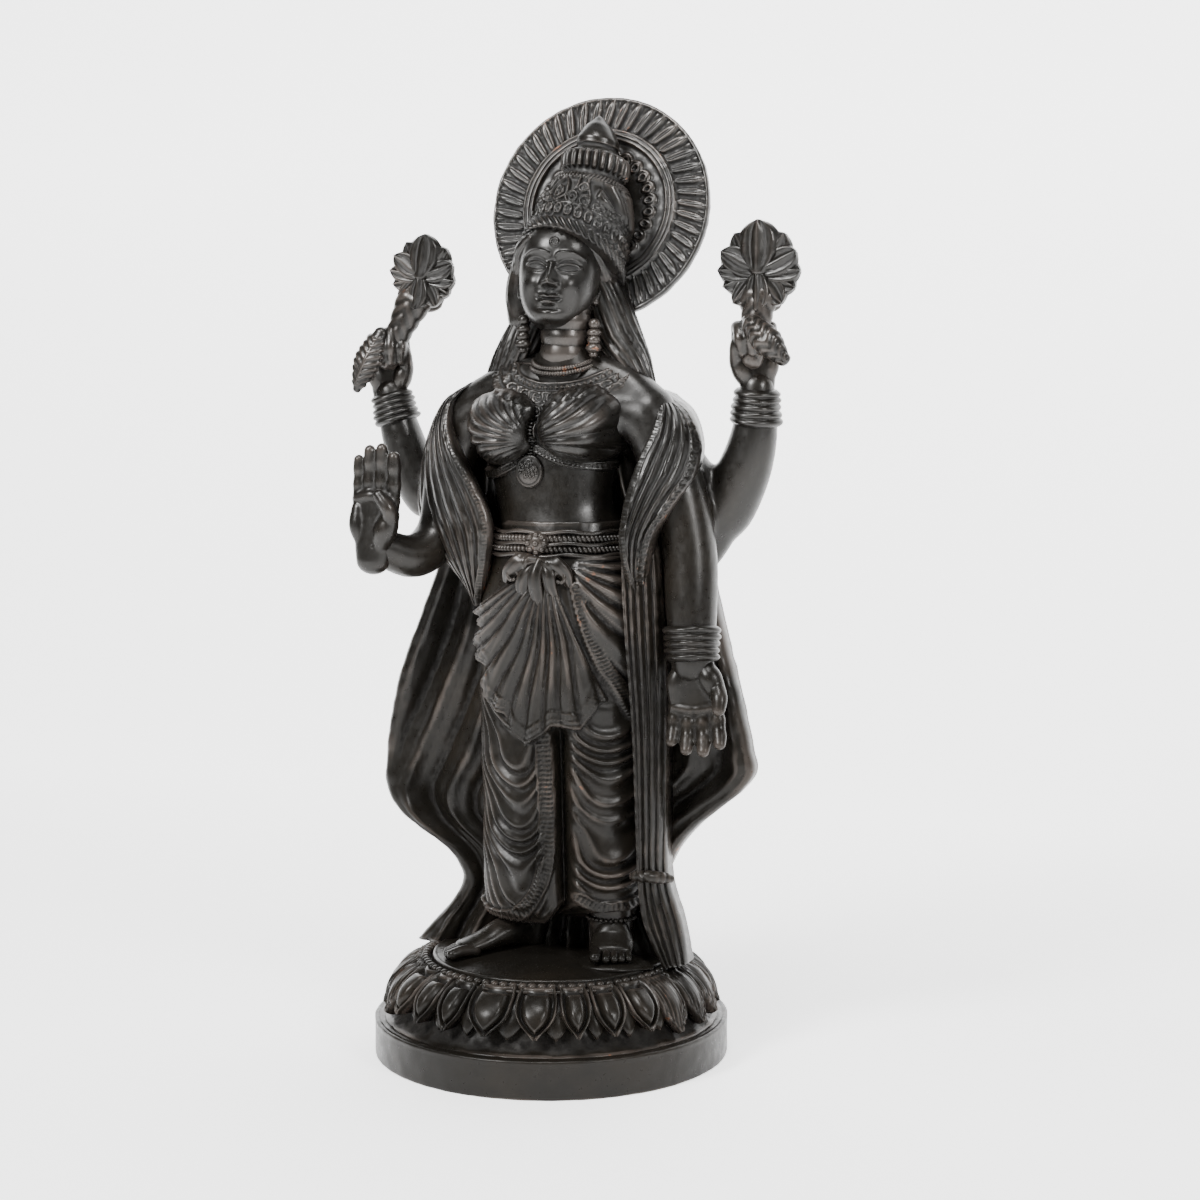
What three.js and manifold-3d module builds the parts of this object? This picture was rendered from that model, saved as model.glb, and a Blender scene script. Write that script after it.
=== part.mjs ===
// Standing four-armed goddess of fortune on a lotus pedestal: one dark-patinated bronze casting.
// Millimetres, +Z up. The figure faces -Y, her left is +X, and the origin is the middle of the plinth's underside.
import * as THREE from "three";
import { mergeVertices } from "three/addons/utils/BufferGeometryUtils.js";
import Module from "manifold-3d";

// Plinth and lotus pedestal
const PLINTH_DIAMETER = 150;
const PLINTH_HEIGHT = 16;
const PLINTH_EDGE = 0.8; // chamfer of the turned rim
const LOTUS_DIAMETER = 139; // over the petals' bellies
const LOTUS_HEIGHT = 23;
const PETAL_COUNT = 26;
const PETAL_RELIEF = 5; // how far a petal stands out of the core
const PETAL_LIFT = 8; // height of a petal's tip over the plinth
const PETAL_EDGE = 0.8; // thickness of a petal at its edge
const BEAD_DIAMETER = 4.4;
const BEAD_RING_DIAMETER = 106;
const STAGE_DIAMETER = 101; // the smooth disc under the feet
const STAGE_HEIGHT = 3;

// Figure and halo
const FIGURE_HEIGHT = 352; // soles to the tip of the crown
const HALO_DIAMETER = 96;
const HALO_THICKNESS = 5.5;
const HALO_LEAN = 12; // degrees, top away from the viewer
const HALO_RAY_COUNT = 28;
const HALO_RAY_LENGTH = 12.6;

// The free form is drawn in units of which the figure's height holds this many
const FIGURE_UNITS = 352;
const UNIT = FIGURE_HEIGHT / FIGURE_UNITS;
const STAGE_TOP = PLINTH_HEIGHT + LOTUS_HEIGHT + STAGE_HEIGHT;

const bronze = new THREE.MeshStandardMaterial({
  name: "dark_bronze",
  color: 0x1d1a18,
  metalness: 0.85,
  roughness: 0.42,
});

const wasm = await Module();
wasm.setup();

// Small mathematics
const rad = (degrees) => (degrees * Math.PI) / 180;
const degrees = (radians) => (radians * 180) / Math.PI;
const clamp01 = (t) => Math.min(1, Math.max(0, t));
const mix = (a, b, t) => a + (b - a) * t;
const vec = (p) => new THREE.Vector3(...p);
const range = (count) => Array.from({ length: count }, (_, i) => i);

function step(low, high, t) {
  const s = clamp01((t - low) / (high - low));
  return s * s * (3 - 2 * s);
}

// One inside low to high, zero outside, with a soft edge
const between = (low, high, soft, t) => step(low - soft, low + soft, t) * step(high + soft, high - soft, t);

// Smooth values between the rows of a table whose first column runs upwards: a cubic through the rows.
function profile(rows) {
  const slope = (i, c) => {
    const a = rows[Math.max(i - 1, 0)];
    const b = rows[Math.min(i + 1, rows.length - 1)];
    return (b[c] - a[c]) / (b[0] - a[0]);
  };
  return (t) => {
    let i = 0;
    while (i < rows.length - 2 && t > rows[i + 1][0]) i += 1;
    const [a, b] = [rows[i], rows[i + 1]];
    const h = b[0] - a[0];
    const s = clamp01((t - a[0]) / h);
    const [s2, s3] = [s * s, s * s * s];
    return a.slice(1).map((value, k) => (2 * s3 - 3 * s2 + 1) * value
      + (s3 - 2 * s2 + s) * h * slope(i, k + 1)
      + (3 * s2 - 2 * s3) * b[k + 1]
      + (s3 - s2) * h * slope(i + 1, k + 1));
  };
}

// A closed skin over rings of points: each ring runs once round, and each end closes on its ring's middle.
function skin(rings) {
  const count = rings[0].length;
  const middle = (ring) => ring.reduce((sum, p) => sum.add(p), new THREE.Vector3()).divideScalar(count);
  const points = [middle(rings[0]), ...rings.flat(), middle(rings[rings.length - 1])];
  const index = [];
  const at = (i, j) => 1 + i * count + (j % count);
  for (let j = 0; j < count; j += 1) {
    index.push(0, at(0, j + 1), at(0, j));
    for (let i = 0; i < rings.length - 1; i += 1) {
      index.push(at(i, j), at(i, j + 1), at(i + 1, j + 1));
      index.push(at(i, j), at(i + 1, j + 1), at(i + 1, j));
    }
    index.push(points.length - 1, at(rings.length - 1, j), at(rings.length - 1, j + 1));
  }
  const geometry = new THREE.BufferGeometry().setFromPoints(points);
  geometry.setIndex(index);
  return geometry;
}

// A value from a list that is spread evenly over 0 to 1
function spread(list, s) {
  const t = clamp01(s) * (list.length - 1);
  const i = Math.min(Math.floor(t), list.length - 2);
  return mix(list[i], list[i + 1], step(0, 1, t - i));
}

// A round-ended loft along a curve: widths are half the size along the side direction, depths across it, and
// swell(s, angle) adds to both.
function limb(path, widths, options = {}) {
  const { depths = widths, side = [1, 0, 0], sides = 8, steps = 5, swell = () => 0 } = options;
  const curve = new THREE.CatmullRomCurve3(path.map(vec), false, "centripetal");
  const ring = (s, reach, scale) => {
    const along = curve.getTangentAt(s);
    const across = vec(side).addScaledVector(along, -vec(side).dot(along)).normalize();
    const up = along.clone().cross(across);
    const at = curve.getPointAt(s).addScaledVector(along, reach);
    return range(sides).map((j) => {
      const angle = (2 * Math.PI * (j + 0.5)) / sides;
      const more = swell(s, angle);
      return at.clone()
        .addScaledVector(across, Math.cos(angle) * (spread(widths, s) + more) * scale)
        .addScaledVector(up, Math.sin(angle) * (spread(depths, s) + more) * scale);
    });
  };
  const cap = (s) => {
    const size = Math.min(spread(widths, s), spread(depths, s));
    return ring(s, (s ? 1 : -1) * size * Math.sin(rad(50)), Math.cos(rad(50)));
  };
  const rings = range(steps + 1).map((i) => ring(i / steps, 0, 1));
  return skin([cap(0), ...rings, cap(1)]);
}

// three.js geometry to a solid for joining, turned outwards if its faces point in.
function toSolid(geometry) {
  const bare = geometry.clone();
  bare.deleteAttribute("normal");
  bare.deleteAttribute("uv");
  const merged = mergeVertices(bare, 1e-4);
  const index = merged.index.array;
  const make = (triVerts) => new wasm.Manifold(new wasm.Mesh({
    numProp: 3,
    vertProperties: merged.attributes.position.array,
    triVerts,
  }));
  const solid = make(new Uint32Array(index));
  if (solid.volume() > 0) return solid;
  const turned = new Uint32Array(index);
  for (let i = 0; i < turned.length; i += 3) {
    turned[i] = index[i + 1];
    turned[i + 1] = index[i];
  }
  return make(turned);
}

function toGeometry(solid) {
  const mesh = solid.getMesh();
  const geometry = new THREE.BufferGeometry();
  geometry.setAttribute("position", new THREE.BufferAttribute(new Float32Array(mesh.vertProperties), 3));
  geometry.setIndex(new THREE.BufferAttribute(new Uint32Array(mesh.triVerts), 1));
  geometry.computeVertexNormals();
  return geometry;
}

const fuse = (solids) => solids.reduce((all, one) => all.add(one));

// Joins overlapping forms into one casting, which is solid where they enclose a pocket.
function join(geometries) {
  const shells = fuse(geometries.map(toSolid)).decompose();
  return fuse(shells.filter((shell) => shell.volume() > 0));
}

// Trunk: a smooth column of sections, with the breasts as rounded hills on its front
const TRUNK = profile([
  // height, middle x, middle y, half width, front, back
  [158, 6, 0, 33, 23, 22],
  [178, 5.5, 0, 28.5, 22, 19],
  [190, 3, 0, 25.5, 20, 16],
  [206, 1.5, 0, 28, 19, 16],
  [222, 1.5, 1, 34, 18, 17],
  [234, 3, 2, 40, 14.5, 16],
  [241, 4.5, 2.5, 36, 12, 14],
  [248, 5, 2.5, 20, 9, 11],
]);
const BREASTS = { middles: [[20.5, 223], [-16.5, 222]], radius: 14.5, height: 15 };

function breastHeight(x, z) {
  return BREASTS.middles.reduce((sum, [bx, bz]) => {
    const reach = Math.hypot(x - bx, (z - bz) * (z < bz ? 1.15 : 0.85)) / BREASTS.radius;
    return sum + BREASTS.height * Math.exp(-(reach ** 2.6));
  }, 0);
}

function trunk() {
  const [low, high, rows, sides] = [178, 248, 8, 20];
  return skin(range(rows + 1).map((i) => {
    const z = mix(low, high, i / rows);
    const [mx, my, half, front, back] = TRUNK(z);
    return range(sides).map((j) => {
      const angle = (2 * Math.PI * j) / sides - 0.35 * Math.sin((4 * Math.PI * j) / sides);
      const x = mx + half * Math.cos(angle);
      const s = Math.sin(angle);
      const chest = breastHeight(x, z) * step(-0.2, -0.7, s);
      return new THREE.Vector3(x, my + s * (s < 0 ? front : back) - chest, z);
    });
  }));
}

// Skirt: both legs under one cloth, with the folds as heights over the plain column
const SKIRT = profile([
  // height, middle x, middle y, half width, front, back
  [13, 4, 0, 29, 17, 14],
  [20, 5, 0, 33, 21, 17],
  [50, 5, 0, 33, 23, 18],
  [83, 6, 0, 34.5, 25, 20],
  [118, 6, 0, 35.5, 27, 22],
  [150, 6, 0, 35.5, 27, 24],
  [166, 6, 0, 32, 24.5, 22],
  [184, 5.5, 0, 27.5, 21.5, 18],
]);
const KNOT = { x: 10, z: 167 }; // where the apron's pleats gather, under the girdle's clasp
const HIP_KNOT = { x: 15, z: 168 }; // where the folds over her left hip gather
const GIRDLE = { low: 170, high: 183 };
const APRON_HEM = profile([
  // angle from straight down, reach from the knot
  [-46, 46],
  [-26, 62],
  [-7, 73],
  [6, 68],
  [27, 60],
]);

const fromKnot = (knot, x, z) => [degrees(Math.atan2(x - knot.x, knot.z - z)), Math.hypot(x - knot.x, knot.z - z)];

function apron(x, z) {
  const [angle, reach] = fromKnot(KNOT, x, z);
  const hem = APRON_HEM(angle)[0];
  const inside = between(-44, 25, 2.5, angle) * step(hem + 1.5, hem - 1.5, reach);
  return inside * (1.6 + 2.6 * Math.cos(rad(angle * 12)) ** 2 * step(6, 30, reach));
}

function hipFolds(x, z) {
  const [angle, reach] = fromKnot(HIP_KNOT, x, z);
  const inside = step(20, 24, angle) * step(100, 92, angle) * step(3, 12, reach);
  return inside * (0.8 + 3 * Math.cos(rad((angle - 0.28 * reach) * 9)) ** 2);
}

function rightLegFolds(x, z) {
  const inside = step(13, 9, x) * between(24, 101, 4, z);
  const reach = Math.hypot((x + 34) * 1.3, z - 116);
  return inside * 3.4 * Math.cos((Math.PI * reach) / 15) ** 2 * step(14, 26, reach);
}

function leftLegFolds(x, z) {
  const inside = step(18, 22, x) * between(34, 104, 4, z);
  return inside * 3.2 * Math.cos((Math.PI * (z - 0.055 * (x - 31) ** 2)) / 15) ** 2;
}

const legGroove = (x, z) => -9 * Math.exp(-(((x - 17.5) / 3.2) ** 2)) * step(103, 92, z);

const girdle = (z) => 2.6 * between(GIRDLE.low, GIRDLE.high, 1, z);

function drape(x, z) {
  const over = Math.max(apron(x, z), hipFolds(x, z));
  const under = rightLegFolds(x, z) + leftLegFolds(x, z) + legGroove(x, z);
  return over > 0.4 ? over : over + under;
}

function skirt() {
  const [low, high, rows, frontSides, backSides] = [13, 184, 27, 19, 3];
  const angles = [
    ...range(frontSides).map((j) => mix(-190, 10, j / frontSides)),
    ...range(backSides).map((j) => mix(10, 170, j / backSides)),
  ].map(rad);
  return skin(range(rows + 1).map((i) => {
    const z = mix(low, high, i / rows);
    const [mx, my, half, front, back] = SKIRT(z);
    return angles.map((angle) => {
      const [c, s] = [Math.cos(angle), Math.sin(angle)];
      const lift = drape(mx + half * c, z) * step(0.2, -0.25, s) * (z < GIRDLE.low ? 1 : 0) + girdle(z);
      const reach = 1 + lift / Math.hypot(half * c, front * s);
      return new THREE.Vector3(mx + half * c * reach, my + s * (s < 0 ? front : back) * reach, z);
    });
  }));
}

// Shawl behind the figure: falls from the shoulders, flares to a wing on each side and pinches in under the wings
const SHAWL_ROWS = [
  // height, her right edge, her left edge, front face, back face
  [-2, -66, 58, 0, 20],
  [8, -57.5, 55, 0, 20],
  [18, -48.5, 50, 0, 20],
  [27, -44, 48, 0, 20],
  [40, -52, 52, -1, 20],
  [49, -66, 58, -2, 20],
  [56, -75, 64, -2, 20],
  [65, -80.5, 74, -3, 21],
  [78, -80.5, 88, -3, 22],
  [102, -77, 84, -3, 23],
  [130, -69, 76.5, -2, 25],
  [160, -57.5, 68.5, 0, 26],
  [190, -48, 62, 2, 27],
  [215, -41, 52, 4, 24],
  [236, -26, 36, 6, 20],
];
const SHAWL_PLEATS = 4;

function shawl() {
  const across = 8;
  return skin(SHAWL_ROWS.map(([z, left, right, front, back]) => {
    const half = (back - front) / 2;
    const face = (j, sign) => {
      const t = mix(-0.94, 0.94, j / across);
      const round = Math.sqrt(1 - Math.abs(t) ** 4);
      const pleat = 1.8 * Math.cos(Math.PI * SHAWL_PLEATS * t);
      return new THREE.Vector3(mix(left, right, (t + 1) / 2), front + half + sign * (half + pleat) * round, z);
    };
    return [...range(across + 1).map((j) => face(j, -1)), ...range(across + 1).map((j) => face(across - j, 1))];
  }));
}

// Folds of the shawl over the upper arms, and the sash that hangs before her left hip
function shoulderFolds() {
  const pleats = (s, angle) => 1.1 * Math.cos(4 * (angle - Math.PI / 8));
  const rightSide = limb(
    [[-36, 1, 233], [-44, -2, 218], [-44, -4, 200], [-40, -6, 180], [-36, -3, 160]],
    [7, 12, 14, 14, 8],
    { depths: [8, 15, 16, 14, 8], sides: 8, steps: 5, swell: pleats },
  );
  const leftSide = limb(
    [[47, 1, 234], [54, -2, 218], [56, -1, 200], [55, 2, 180], [50, 6, 150]],
    [6, 12, 12, 12, 10],
    { depths: [8, 16, 16, 14, 10], sides: 8, steps: 5, swell: pleats },
  );
  const sash = limb(
    [[43, -12, 174], [45, -12, 140], [48, -10, 100], [49, -8, 62], [49, -6, 36], [53, -5, 18], [58, -6, -1]],
    [5, 7, 7, 6, 6.5, 8, 5],
    { depths: [9, 12, 11, 10, 8, 6, 5], sides: 6, steps: 7 },
  );
  return [rightSide, leftSide, sash];
}

// Arms: shoulder, elbow and wrist points, with half thicknesses along them
const ARMS = {
  frontRight: {
    path: [[-36, -1, 226], [-45, -2, 205], [-49, -4, 178], [-55, -17, 168], [-65, -30, 173]],
    radii: [11, 10.5, 9.5, 8.5, 7],
    bangle: 0.93,
  },
  frontLeft: {
    path: [[43, -1, 227], [54, -2, 205], [62, -4, 175], [64.5, -8, 150], [66, -11, 127]],
    radii: [12, 12, 11.5, 11, 9],
    bangle: 0.94,
  },
  rearLeft: {
    path: [[42, 8, 228], [57, 14, 198], [67, 17, 186], [77, 16, 199], [84, 14, 218], [86, 12, 239]],
    radii: [11, 12, 12.5, 11.5, 9.5, 7.5],
    bangle: 0.95,
  },
  rearRight: {
    path: [[-36, 8, 228], [-50, 12, 200], [-59, 14, 191], [-67, 14, 199], [-74, 13, 218], [-79, 12, 237]],
    radii: [10, 10.5, 10.5, 10, 8.5, 7],
    bangle: 0.95,
  },
};

function arms() {
  return Object.values(ARMS).map(({ path, radii, bangle }) => limb(path, radii, {
    sides: 6,
    steps: 7,
    swell: (s) => 1.8 * between(bangle - 0.05, bangle + 0.05, 0.02, s),
  }));
}

// A hand in its own frame: fingers along +Y, palm towards +Z, thumb on +X, wrist at the origin
function hand({ curl = 0, fan = 3, thumb = [13, 20, 5], closed = false }) {
  const palmPath = [[0, -2, 0], [0, 9, 0], [0.5, 20, 0]];
  const palm = limb(palmPath, [6.5, 9.5, 10], { depths: [5, 4.4, 3.4], sides: 6, steps: 2 });
  const fingers = [[7.6, 18], [2.6, 21], [-2.4, 20], [-7.2, 16]].map(([x, reach]) => {
    const lean = rad((x / 7.5) * fan);
    const bend = (far) => [
      x + Math.sin(lean) * far * Math.cos(rad(curl * far * 0.05)),
      19 + Math.cos(lean) * far * Math.cos(rad(curl * far * 0.05)),
      Math.sin(rad(curl * far * 0.05)) * far,
    ];
    return limb([bend(0), bend(reach * 0.5), bend(reach)], [2.8, 2.6, 2], { sides: 4, steps: 2 });
  });
  const thumbLimb = limb([[5, 5, 1], [10, 12, 2.5], thumb], [3.4, 3.2, 2.2], { sides: 4, steps: 2 });
  const fist = limb([...palmPath, [0.5, 27, 3], [1.5, 33, 9]], [6.5, 9.5, 9.8, 8, 5.5], {
    depths: [5, 4.4, 4, 4, 3.4],
    sides: 6,
    steps: 4,
  });
  return closed ? [fist, thumbLimb] : [palm, ...fingers, thumbLimb];
}

// Puts shapes drawn in a hand's frame at a wrist: fingers and palm are directions, flip mirrors the thumb's side.
function atWrist(shapes, { wrist, fingers, palm, flip = 1, size = 1 }) {
  const y = vec(fingers).normalize();
  const z = vec(palm).addScaledVector(y, -vec(palm).dot(y)).normalize();
  const x = y.clone().cross(z).multiplyScalar(flip);
  const matrix = new THREE.Matrix4().makeBasis(x, y, z).scale(new THREE.Vector3(size, size, size)).setPosition(...wrist);
  return shapes.map((shape) => shape.clone().applyMatrix4(matrix));
}

function hands() {
  return [
    ...atWrist(hand({ thumb: [7, 20, 4] }), {
      wrist: [-66.5, -32, 174], fingers: [0.05, 0.02, 1], palm: [-0.05, -1, 0.1], size: 1,
    }),
    ...atWrist(hand({ curl: 12, thumb: [13, 16, 7] }), {
      wrist: [66.3, -11, 127], fingers: [0.08, -0.1, -1], palm: [0.1, -1, 0], size: 0.9, flip: -1,
    }),
    ...atWrist(hand({ closed: true, thumb: [7, 20, 6] }), {
      wrist: [86, 12, 240], fingers: [-0.05, -0.05, 1], palm: [0.35, -1, 0], size: 0.9, flip: -1,
    }),
    ...atWrist(hand({ closed: true, thumb: [7, 20, 6] }), {
      wrist: [-79.5, 12, 237], fingers: [0, -0.05, 1], palm: [0.35, -1, 0], size: 0.9,
    }),
  ];
}

// An open lotus that faces forward, as one skin: every other point round it is a petal's tip, the rest the clefts
const BLOSSOM_PETALS = 8;
const BLOSSOM_ROWS = [
  // reach of the tips, reach of the clefts, how far the tips and the clefts lie to the front
  [0.3, 0.3, -4, -4],
  [0.75, 0.62, -3.5, -3],
  [1, 0.72, 1.5, 1],
  [0.62, 0.56, 7.5, 4.5],
  [0.2, 0.2, 6.5, 6],
];

function blossom(middle, radius) {
  const sides = 2 * BLOSSOM_PETALS;
  return skin(BLOSSOM_ROWS.map(([tips, clefts, tipFront, cleftFront]) => range(sides).map((j) => {
    const angle = (2 * Math.PI * j) / sides + Math.PI / 2;
    const tall = 1 + 0.16 * Math.max(0, Math.sin(angle)) ** 3;
    const reach = radius * tall * (j % 2 ? clefts : tips);
    const front = j % 2 ? cleftFront : tipFront;
    return vec(middle).add(new THREE.Vector3(Math.cos(angle) * reach, -front, Math.sin(angle) * reach));
  })));
}

function attributes() {
  const leftFlower = [88, 9, 285];
  const rightFlower = [-61, 9, 285.5];
  return [
    blossom(leftFlower, 18.5),
    blossom(rightFlower, 16.5),
    limb([[86, 6, 246], [87, 8, 264], leftFlower], [3.2, 4, 5], { sides: 6, steps: 2 }),
    limb([[-79, 6, 246], [-71, 8, 265], rightFlower], [3.2, 4, 5], { sides: 6, steps: 2 }),
    limb([[87, 0, 265], [94, -2, 258], [101.5, -2, 249.5]], [4, 6, 3], { sides: 6, steps: 2 }),
    limb([[-78, 3, 262], [-84, 1, 250], [-89, 0, 237]], [3, 5.5, 2], { depths: [2.5, 2.5, 1.5], sides: 6, steps: 2 }),
  ];
}

// Head: an egg in its own frame, then turned to her left and tipped back
const HEAD = { middle: [4.6, 0.5, 283.8], half: [16.5, 19.5, 23], yaw: 8, pitch: 10 };

function faceForm(x, z) {
  const nose = 4.2 * Math.exp(-((x / 3) ** 2)) * between(-8, 1, 3, z) * mix(1, 0.55, step(-5, 3, z));
  const lips = 1.6 * Math.exp(-((x / 5) ** 2) - ((z + 12) / 2.6) ** 2);
  const chin = 2 * Math.exp(-((x / 5.5) ** 2) - ((z + 19.5) / 3.6) ** 2);
  const sockets = -2 * Math.exp(-(((Math.abs(x) - 6.8) / 3.4) ** 2) - ((z - 1.2) / 3) ** 2);
  return nose + lips + chin + sockets;
}

function head() {
  const [rows, sides] = [10, 14];
  const [hx, hy, hz] = HEAD.half;
  const turn = new THREE.Matrix4().makeRotationZ(rad(HEAD.yaw))
    .multiply(new THREE.Matrix4().makeRotationX(rad(-HEAD.pitch)))
    .setPosition(...HEAD.middle);
  return skin(range(rows).map((i) => {
    const lift = mix(-82, 80, i / (rows - 1));
    const z = hz * Math.sin(rad(lift));
    const jaw = mix(0.86, 1, step(-20, 2, z));
    return range(sides).map((j) => {
      const around = (2 * Math.PI * (j + 0.5)) / sides;
      const x = hx * Math.cos(around) * Math.cos(rad(lift)) ** 0.75 * jaw;
      const s = Math.sin(around);
      const y = hy * s * Math.cos(rad(lift)) ** 0.7 - (s < 0 ? faceForm(x, z) * step(0, -0.5, s) : 0);
      return new THREE.Vector3(x, y, z).applyMatrix4(turn);
    });
  }));
}

// Crown: tiers along a leaning axis, with the fluted ring as lobes
const CROWN = {
  foot: [9.2, 5.5, 297.6],
  tip: [15.5, 18, 352],
  dip: 0.4, // how steeply the band falls to the nape
  sway: 2.5, // how far the middle tiers stand to her left of the line from foot to tip
};
const CROWN_TIERS = profile([
  // share of the axis, radius, depth of the lobes
  [0, 20.5, 0],
  [0.03, 22.4, 0.4],
  [0.09, 22, 0.4],
  [0.12, 20.8, 0],
  [0.28, 19.8, 0.6],
  [0.42, 16.6, 0.6],
  [0.47, 14.6, 0.2],
  [0.5, 12.6, 0],
  [0.55, 13.8, 0.8],
  [0.64, 13.8, 0.9],
  [0.7, 11.2, 0.4],
  [0.74, 8.4, 0],
  [0.8, 9.2, 0.2],
  [0.9, 6.2, 0.2],
  [0.98, 2, 0],
]);

function crown() {
  const sides = 12;
  const [foot, tip] = [vec(CROWN.foot), vec(CROWN.tip)];
  const up = tip.clone().sub(foot).normalize();
  const across = new THREE.Vector3(1, 0, 0).addScaledVector(up, -up.x).normalize();
  const back = up.clone().cross(across);
  const shares = [0.03, 0.09, 0.12, 0.28, 0.42, 0.5, 0.55, 0.64, 0.74, 0.8, 0.9, 0.98];
  return skin(shares.map((share) => {
    const [radius, lobe] = CROWN_TIERS(share);
    const at = foot.clone().lerp(tip, share).addScaledVector(across, CROWN.sway * Math.sin(Math.PI * share));
    return range(sides).map((j) => {
      const angle = (2 * Math.PI * j) / sides;
      const reach = radius + lobe * Math.cos((angle * sides) / 2);
      const fall = CROWN.dip * step(0.6, 0.1, share) * reach * (1 + Math.sin(angle));
      return at.clone()
        .addScaledVector(across, Math.cos(angle) * reach)
        .addScaledVector(back, Math.sin(angle) * reach)
        .addScaledVector(up, -fall);
    });
  }));
}

// Neck, shoulders, hair, earrings, necklace, pendant and the girdle's clasp with its hanging knot
function neckAndHair() {
  const collar = [[-12, 2, 246], [-18, -9, 238], [2, -20.5, 228], [24, -9.5, 238], [21, 2, 246]];
  return [
    limb([[6.5, 0, 238], [7.5, -2, 254], [9.5, -3, 272]], [11, 9.6, 10], { sides: 7, steps: 3 }),
    limb([[-6, 3, 243], [-36, 1, 230]], [8, 9], { side: [0, 0, 1], sides: 6, steps: 1 }),
    limb([[18, 3, 244], [44, 0, 231]], [8, 9.5], { side: [0, 0, 1], sides: 6, steps: 1 }),
    limb([[-6, 9, 284], [-11, 7, 264], [-21, 4, 245]], [7, 8, 5], { depths: [8, 7, 4], sides: 6, steps: 3 }),
    limb([[18, 12, 286], [27, 10, 264], [40, 5, 244]], [8, 9.5, 5], { depths: [9, 9, 4], sides: 6, steps: 3 }),
    limb([[11, 15, 298], [9, 17, 262], [9, 18, 224]], [15, 25, 24], { depths: [10, 9, 8], sides: 6, steps: 3 }),
    limb([[-8, -2, 272], [-9, -6, 256]], [3.4, 3.6], { sides: 5, steps: 1 }),
    limb([[18.4, 0, 272], [21, -5, 254]], [3.2, 3.6], { sides: 5, steps: 1 }),
    limb(collar, [3.2, 3.2], { depths: [2.4, 2.4], sides: 4, steps: 6, side: [0, 0, 1] }),
    limb([[1, -20.5, 227], [0, -21.5, 209]], [1.8, 1.8], { sides: 4, steps: 1 }),
    limb([[0.2, -17, 204.5], [0.2, -22, 204.5]], [5.4, 5.2], { steps: 1 }),
    limb([[9, -21, 176], [9, -26, 176]], [6, 5], { sides: 8, steps: 1 }),
    limb([[9, -23, 170], [9.5, -28, 160], [10, -27, 150]], [5, 4, 4], { sides: 5, steps: 2 }),
  ];
}

// Feet: her right one points out to her right, her left one forward
function feet() {
  return [
    limb([[-10, 2, 8], [-18, -10, 5], [-28, -22, 3], [-36, -30, 1.5]], [8, 8, 6, 3.4], {
      depths: [8, 6, 4, 2.6],
      side: [0.8, -0.6, 0],
      sides: 6,
      steps: 3,
    }),
    limb([[28, 0, 17], [29, -4, 13.5], [32, -12, 8], [34, -23, 5]], [9.5, 9.5, 9.8, 9.4], {
      depths: [9, 8, 6, 4],
      sides: 6,
      steps: 3,
    }),
    limb([[28, -2, 26], [28, -4, 8]], [9.5, 9.2], { sides: 6, steps: 1 }),
    limb([[-8, 3, 20], [-10, 2, 6]], [10, 8], { sides: 6, steps: 1 }),
  ];
}

// Halo: a leaning disc with a rim of rays round a raised ring
const HALO_MIDDLE = [13.5, 24, 313.5];
const HALO_SINK = 2; // how far the field inside the ring lies under it
const HALO_RING_WIDTH = 3.5;
const HALO_BEVEL = 1.5; // width of the slopes beside the ring and of the rim's edge
const RAY_RIDGE = 0.6; // how far a ray's midrib stands over the disc's face
const RAY_CLEFT = 1.4; // how far the line between two rays lies under it

function halo() {
  const radius = HALO_DIAMETER / 2;
  const inner = radius - HALO_RAY_LENGTH;
  const half = HALO_THICKNESS / 2;
  const sides = 2 * HALO_RAY_COUNT;
  const ray = (j) => (j % 2 ? -RAY_CLEFT : RAY_RIDGE);
  const rings = [
    [inner - HALO_RING_WIDTH - HALO_BEVEL, () => half - HALO_SINK],
    [inner - HALO_RING_WIDTH, () => half],
    [inner, (j) => half + ray(j) * 0.3],
    [radius - HALO_BEVEL, (j) => half + ray(j)],
    [radius, () => -half],
  ];
  const turn = new THREE.Matrix4().makeRotationX(rad(-HALO_LEAN));
  const middle = vec(HALO_MIDDLE).multiplyScalar(UNIT);
  return skin(rings.map(([reach, front]) => range(sides).map((j) => {
    const angle = (2 * Math.PI * j) / sides;
    return new THREE.Vector3(Math.cos(angle) * reach, -front(j), Math.sin(angle) * reach)
      .applyMatrix4(turn)
      .add(middle);
  })));
}

// Turned plinth, lotus and stage as one skin. Each row gives the radius and the height at a share u across a petal,
// from -1 at one side through 0 on its midrib to 1, so a row can run along the petals' pointed edges.
const PETAL_SAMPLES = 3; // points across one petal
const BEAD_SAMPLES = 2; // points across one bead

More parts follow.
